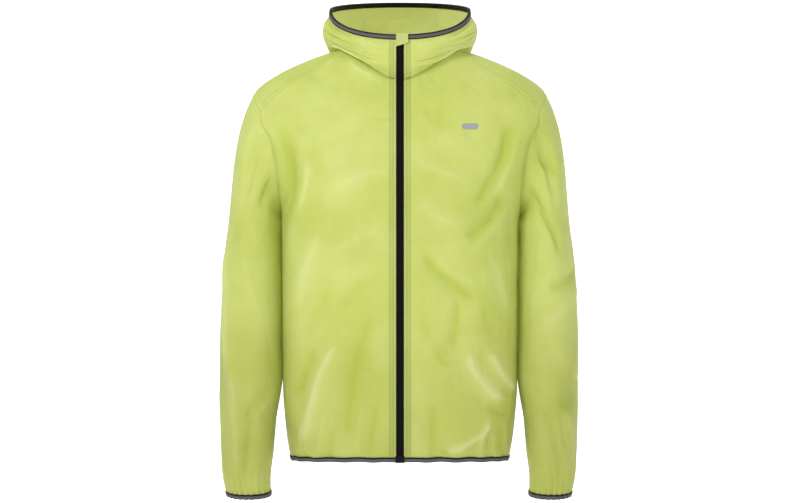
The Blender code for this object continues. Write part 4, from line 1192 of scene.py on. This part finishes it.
def mix_colour(tree, share, one, two, how="MIX"):
    """A mix of two colours; each is a colour or a socket, and share a number or a socket."""
    made = node(tree, "ShaderNodeMix", {"data_type": "RGBA", "blend_type": how})
    for socket, value in ((made.inputs[0], share), (made.inputs[6], one), (made.inputs[7], two)):
        if isinstance(value, bpy.types.NodeSocket):
            tree.links.new(value, socket)
        elif isinstance(value, tuple):
            socket.default_value = (*value, 1)
        else:
            socket.default_value = value
    return made.outputs[2]


def times(tree, one, two):
    """The product of a socket and a number or a socket."""
    made = node(tree, "ShaderNodeMath", {"operation": "MULTIPLY"})
    tree.links.new(one, made.inputs[0])
    if isinstance(two, float):
        made.inputs[1].default_value = two
    else:
        tree.links.new(two, made.inputs[1])
    return made.outputs[0]


def bump(tree, height, strength, distance, after=None):
    """A bump from a height, over another bump if there is one; its depth is in metres."""
    made = node(tree, "ShaderNodeBump", Strength=strength, Distance=distance)
    tree.links.new(height, made.inputs["Height"])
    if after is not None:
        tree.links.new(after, made.inputs["Normal"])
    return made.outputs["Normal"]


def cloth_material(name):
    """Thin woven nylon that lets some light through, with painted shade in troughs and low down, and
    painted highlight on ridges.
    """
    material, tree, plain = shader(name, LIME, 0.5)
    cloud = ramp(tree, noise(tree, 9, 3), 0.35, 0.65)
    colour = mix_colour(tree, cloud, LIME_DEEP, LIME)
    # Painted shade: the colour is deeper in the cloth's troughs.
    trough = ramp(tree, attribute(tree, "height"), *TROUGH_HEIGHTS)
    colour = mix_colour(tree, trough, mix_colour(tree, 1.0, colour, TROUGH_PAINTED_SHADE, "MULTIPLY"), colour)
    # Painted highlight: the colour is lighter on the cloth's ridges.
    ridge = ramp(tree, attribute(tree, "height"), *RIDGE_HEIGHTS)
    colour = mix_colour(tree, ridge, colour, RIDGE_PAINTED_HIGHLIGHT)
    colour = mix_colour(tree, attribute(tree, "inside"), colour, LIME_INSIDE)
    # Painted shade: the colour is darker low down on the jacket.
    place = node(tree, "ShaderNodeSeparateXYZ")
    coords = node(tree, "ShaderNodeTexCoord")
    tree.links.new(coords.outputs["Object"], place.inputs[0])
    upper = ramp(tree, place.outputs["Z"], *LOW_FROM_TO)
    lower = mix_colour(tree, 1.0, colour, PAINTED_LOW_SHADE, "MULTIPLY")
    colour = mix_colour(tree, upper, lower, colour)
    tree.links.new(colour, plain.inputs["Base Color"])
    plain.inputs["Sheen Weight"].default_value = 0.12
    plain.inputs["Specular IOR Level"].default_value = 0.35
    wide = bump(tree, noise(tree, 11, 3, 0.5, (1.0, 1.0, 0.6)), 1.0, 0.014)
    facets = bump(tree, crumple(tree, 17), 0.55, 0.006, wide)
    small = bump(tree, crumple(tree, 48), 0.3, 0.0022, facets)
    grain = bump(tree, noise(tree, 900, 1), 0.15, 0.0004, small)
    tree.links.new(grain, plain.inputs["Normal"])
    through = node(tree, "ShaderNodeBsdfTranslucent")
    tree.links.new(colour, through.inputs["Color"])
    tree.links.new(grain, through.inputs["Normal"])
    both = node(tree, "ShaderNodeMixShader")
    both.inputs[0].default_value = THROUGH
    out = tree.nodes["Material Output"]
    tree.links.new(plain.outputs[0], both.inputs[1])
    tree.links.new(through.outputs[0], both.inputs[2])
    tree.links.new(both.outputs[0], out.inputs["Surface"])
    return material


def elastic_material(name, light_from, light_to):
    """Ribbed elastic: grey between its black edges, black on the inside."""
    material, tree, plain = shader(name, GREY, 0.55)
    across = attribute(tree, "across")
    low = ramp(tree, across, light_from - EDGE_SOFT, light_from + EDGE_SOFT)
    high = ramp(tree, across, light_to + EDGE_SOFT, light_to - EDGE_SOFT)
    outer = ramp(tree, attribute(tree, "outer"), 0.0, 0.5)
    share = times(tree, times(tree, low, high), outer)
    rib = node(tree, "ShaderNodeMath", {"operation": "SINE"})
    tree.links.new(times(tree, attribute(tree, "along"), 2 * np.pi / RIB_PITCH), rib.inputs[0])
    wave = ramp(tree, rib.outputs[0], -1, 1)
    ribbed = mix_colour(tree, wave, GREY_LOW, GREY)
    colour = mix_colour(tree, share, BLACK, ribbed)
    tree.links.new(colour, plain.inputs["Base Color"])
    tree.links.new(bump(tree, wave, 0.5, 0.0004), plain.inputs["Normal"])
    plain.inputs["Specular IOR Level"].default_value = 0.15
    return material


def plain_material(name, colour, rough, grain, depth, shine=0.3):
    """One colour with a fine grain, given in waves for each metre and metres of depth."""
    material, tree, plain = shader(name, colour, rough)
    plain.inputs["Specular IOR Level"].default_value = shine
    speck = noise(tree, grain, 2)
    light = tuple(min(1.0, c * 1.5) for c in colour)
    tree.links.new(mix_colour(tree, speck, colour, light), plain.inputs["Base Color"])
    tree.links.new(bump(tree, speck, 0.4, depth), plain.inputs["Normal"])
    return material


def show_garage():
    """The flap of cloth that folds over the hood's rim and covers the zip's top."""
    garage_x = np.linspace(GARAGE_X[0], GARAGE_X[1], 22)
    rim = np.array(float(HOOD_RIM))
    turn = np.array([np.sign(x) * float(zip_turn(hood_skin, rim, abs(x))) for x in garage_x])
    edge, normals, off = skin_edge(hood_skin, turn, HOOD_RIM, HOOD_RIM - 9.5)
    drop = np.linspace(*GARAGE_DROP, len(garage_x))
    piece = make_strip("shown_zip_garage", edge, normals, off, drop, GARAGE_INSIDE_DROP, GARAGE_LIFT)
    keep_values(piece.data, "height", np.zeros(len(piece.data.vertices)))
    return piece


def show_bar():
    """A plain reflective bar on the chest, made from the panel's points moved out."""
    rows = []
    for v in np.linspace(-1, 1, 9):
        limit = BAR_WIDE / 2 - (BAR_TALL / 2) * (1 - np.sqrt(1 - v * v * 0.98))
        wide = np.linspace(-limit, limit, 27)
        rows.append([(BAR_X + u, BAR_Z + v * BAR_TALL / 2) for u in wide])
    target = np.array(rows)
    turn, level = find_on_body(target[..., 0], target[..., 1])
    points = body_skin(turn, level)
    normals = outward(body_skin, turn, level)
    lift = body_creases(turn, level) + SHELL + BAR_LIFT
    return make_cloth("chest_bar", points, normals, lift)


def find_on_body(x, z):
    """The turn and level of the front's points that a front view shows at x and z."""
    turn, level = np.full(x.shape, 40.0), np.full(x.shape, 600.0)
    for _ in range(60):
        now = body_skin(turn, level)
        turn = turn + (x - now[..., 0]) * 0.25
        level = level + (z - now[..., 2]) * 0.6
    return turn, level


def show_box(material):
    """The zip's retainer box, a rounded block that fills the space between the fronts."""
    low, high = (np.array(v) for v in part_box("zip_box"))
    high[2] += BOX_TALLER * MM
    middle, size = (low + high) / 2, high - low
    bpy.ops.object.select_all(action="DESELECT")
    bpy.ops.mesh.primitive_cube_add(size=1)
    box = bpy.context.object
    box.name = "shown_zip_box"
    bpy.ops.object.mode_set(mode="EDIT")
    bpy.ops.mesh.select_all(action="SELECT")
    bpy.ops.transform.resize(value=(BOX_WIDE * MM, size[1], size[2]))
    bpy.ops.transform.translate(value=tuple(middle))
    bpy.ops.object.mode_set(mode="OBJECT")
    rounded = box.modifiers.new("rounded", "BEVEL")
    rounded.width = BOX_ROUNDED * MM
    rounded.segments = 3
    bpy.ops.object.modifier_apply(modifier=rounded.name)
    box.data.materials.append(material)
    box.data.shade_smooth()
    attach(box, "root")
    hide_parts("zip_box")


def stitch_lines():
    """Every row of stitches: its name, its points on the cloth, and the normals there."""
    rows = []
    for side, sign in (("left", 1), ("right", -1)):
        for n, x in enumerate(TAPE_STITCH_X):
            for part, skin, start, end in (("front", body_skin, 12, NECK - 2),
                                           ("hood", hood_skin, 3, HOOD_RIM - 11)):
                level = steps(start, end, ROW_STEP)
                turn = sign * zip_turn(skin, level, x)
                rows.append((f"stitches_zip_{part}_{side}_{n}", skin, turn, level))
        arm = armhole_levels(1.0, 4, 118)
        inset = STITCH_INSET / SEAM_RADIUS * 180 / np.pi
        ahead, behind = 90 - armhole_turn(arm) - inset, 90 + armhole_turn(arm) + inset
        rows.append((f"stitches_armhole_front_{side}", body_skin, sign * ahead, arm))
        rows.append((f"stitches_armhole_back_{side}", body_skin, sign * behind, arm))
        high = steps(SHOULDER_TIP + 6, NECK - 8, ROW_STEP)
        shoulder = sign * (front_edge(high) + inset)
        rows.append((f"stitches_shoulder_{side}", body_skin, shoulder, high))
        up = steps(6, HOOD_RIM - 11, ROW_STEP)
        rows.append((f"stitches_hood_{side}", hood_skin, sign * (hood_seam_turn(up) + inset), up))
        around = sign * steps(4, 176, 1.0)
        below_neck = np.full(len(around), NECK - STITCH_INSET)
        rows.append((f"stitches_neck_{side}", body_skin, around, below_neck))
    lines = []
    for name, skin, turn, level in rows:
        points = skin(turn, level)
        normals = outward(skin, turn, level)
        creases = body_creases if skin is body_skin else hood_creases
        lift = creases(turn, level) + (-SEAM_BAND if "zip" in name else SEAM_BAND)
        lines.append((name, points + lift[:, None] * normals, normals))
    return lines


def stage_sheet(name, turned, size, place):
    """A plain sheet of the stage, lying or turned upright."""
    bpy.ops.object.select_all(action="DESELECT")
    bpy.ops.mesh.primitive_plane_add(size=1, location=(0, 0, 0))
    sheet = bpy.context.object
    sheet.name = name
    bpy.ops.object.mode_set(mode="EDIT")
    bpy.ops.mesh.select_all(action="SELECT")
    bpy.ops.transform.rotate(value=turned, orient_axis="X", center_override=(0, 0, 0))
    bpy.ops.transform.resize(value=size)
    bpy.ops.transform.translate(value=place)
    bpy.ops.object.mode_set(mode="OBJECT")
    return sheet


def make_stage():
    """A pale floor and a pale wall behind it."""
    floor_place = (0, WALL_Y - STAGE_DEEP / 2, FLOOR_Z)
    floor = stage_sheet("stage_floor", 0, (STAGE_WIDE, STAGE_DEEP, 1), floor_place)
    wall_place = (0, WALL_Y, FLOOR_Z + STAGE_TALL / 2)
    wall = stage_sheet("stage_wall", np.pi / 2, (STAGE_WIDE, 1, STAGE_TALL), wall_place)
    paper, _, plain = shader("stage_paper", (0.9, 0.9, 0.9), 0.9)
    plain.inputs["Emission Color"].default_value = (1, 1, 1, 1)
    plain.inputs["Emission Strength"].default_value = PAPER_GLOW
    for piece in (floor, wall):
        piece.data.materials.append(paper)


def add_light(name, place, aim, size, power):
    """A soft square lamp that is aimed at a point."""
    light = bpy.data.lights.new(name, "AREA")
    light.size = size
    light.energy = power
    lamp = bpy.data.objects.new(name, light)
    bpy.context.scene.collection.objects.link(lamp)
    lamp.location = place
    way = unit(np.array(aim, float) - np.array(place, float))
    yaw = np.arctan2(way[1], way[0]) - np.pi / 2
    lamp.rotation_euler = (np.arccos(-way[2]), 0, yaw)


def make_camera():
    """The camera, level and square to the front."""
    data = bpy.data.cameras.new("camera")
    data.lens = CAMERA_LENS
    data.sensor_width = 36
    camera = bpy.data.objects.new("camera", data)
    camera.location = CAMERA_AT
    camera.rotation_euler = (np.pi / 2, 0, 0)
    bpy.context.scene.collection.objects.link(camera)
    bpy.context.scene.camera = camera


lime = cloth_material("lime_cloth")
tape_black = plain_material("zip_tape_black", (0.005, 0.0045, 0.005), 0.8, 1400, 0.0002, 0.03)
plastic = plain_material("zip_plastic_black", (0.006, 0.006, 0.007), 0.6, 500, 0.0001, 0.06)
thread = plain_material("lime_thread", (0.20, 0.23, 0.07), 0.6, 900, 0.0002)
bar_grey = plain_material("reflective_grey", (0.22, 0.22, 0.24), 0.4, 1500, 0.0001)
hood_elastic = elastic_material("hood_elastic", 0.22, 0.80)
edge_elastic = elastic_material("hem_elastic", 0.05, 0.66)

pieces = {}
for side in ("left", "right"):
    pieces[f"front_{side}"] = show_front(side)
pieces["back"] = show_back()
for side in ("left", "right"):
    pieces[f"sleeve_{side}"], edge, normals, off = show_sleeve(side)
    pieces[f"cuff_binding_{side}"] = make_strip(
        f"shown_cuff_binding_{side}", edge, normals, off, BINDING_WIDE, BINDING_WIDE,
        BINDING_LIFT, closed=True
    )
pieces.update(show_hood())

hem_start = float(zip_turn(body_skin, np.array(0.0), ZIP_HALF))
edge, normals, off = skin_edge(body_skin, steps(hem_start, 360 - hem_start, 1.1), 0, 8.5)
pieces["hem_binding"] = make_strip(
    "shown_hem_binding", edge, normals, off, BINDING_WIDE, BINDING_WIDE, BINDING_LIFT
)
rim_level = np.array(float(HOOD_RIM))
rim_start = float(zip_turn(hood_skin, rim_level, GARAGE_X[1] + SEAM))
rim_end = 360 - float(zip_turn(hood_skin, rim_level, -GARAGE_X[0] + SEAM))
edge, normals, off = skin_edge(hood_skin, steps(rim_start, rim_end, 1.4), HOOD_RIM, HOOD_RIM - 9.5)
pieces["hood_binding"] = make_strip(
    "shown_hood_binding", edge, normals, off, HOOD_BINDING_WIDE, HOOD_BINDING_WIDE, BINDING_LIFT
)
pieces["zip_garage"] = show_garage()
for side in ("left", "right"):
    pieces[f"zip_tape_{side}"] = show_tape(side)
show_bar().data.materials.append(bar_grey)
FINISHES = {"hem_binding": edge_elastic, "cuff_binding": edge_elastic, "hood_binding": hood_elastic,
            "zip_tape": tape_black}
for key, piece in pieces.items():
    kind = key.removesuffix("_left").removesuffix("_right")
    piece.data.materials.append(FINISHES.get(kind, lime))
    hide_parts(key)

show_box(plastic)
keep_slider = bpy.data.objects["zip_slider"]
keep_slider.data.materials.clear()
keep_slider.data.materials.append(plastic)
for name, line, line_normals in stitch_lines():
    row = show_stitches(name, line, line_normals)
    row.data.materials.append(thread)

make_stage()
make_camera()

for lamp in LIGHTS:
    add_light(*lamp)
world = bpy.data.worlds.new("pale")
world.use_nodes = True
sky = world.node_tree.nodes["Background"]
sky.inputs["Color"].default_value = (1, 1, 1, 1)
sky.inputs["Strength"].default_value = WORLD_GLOW
bpy.context.scene.world = world
bpy.context.scene.view_settings.view_transform = "Standard"
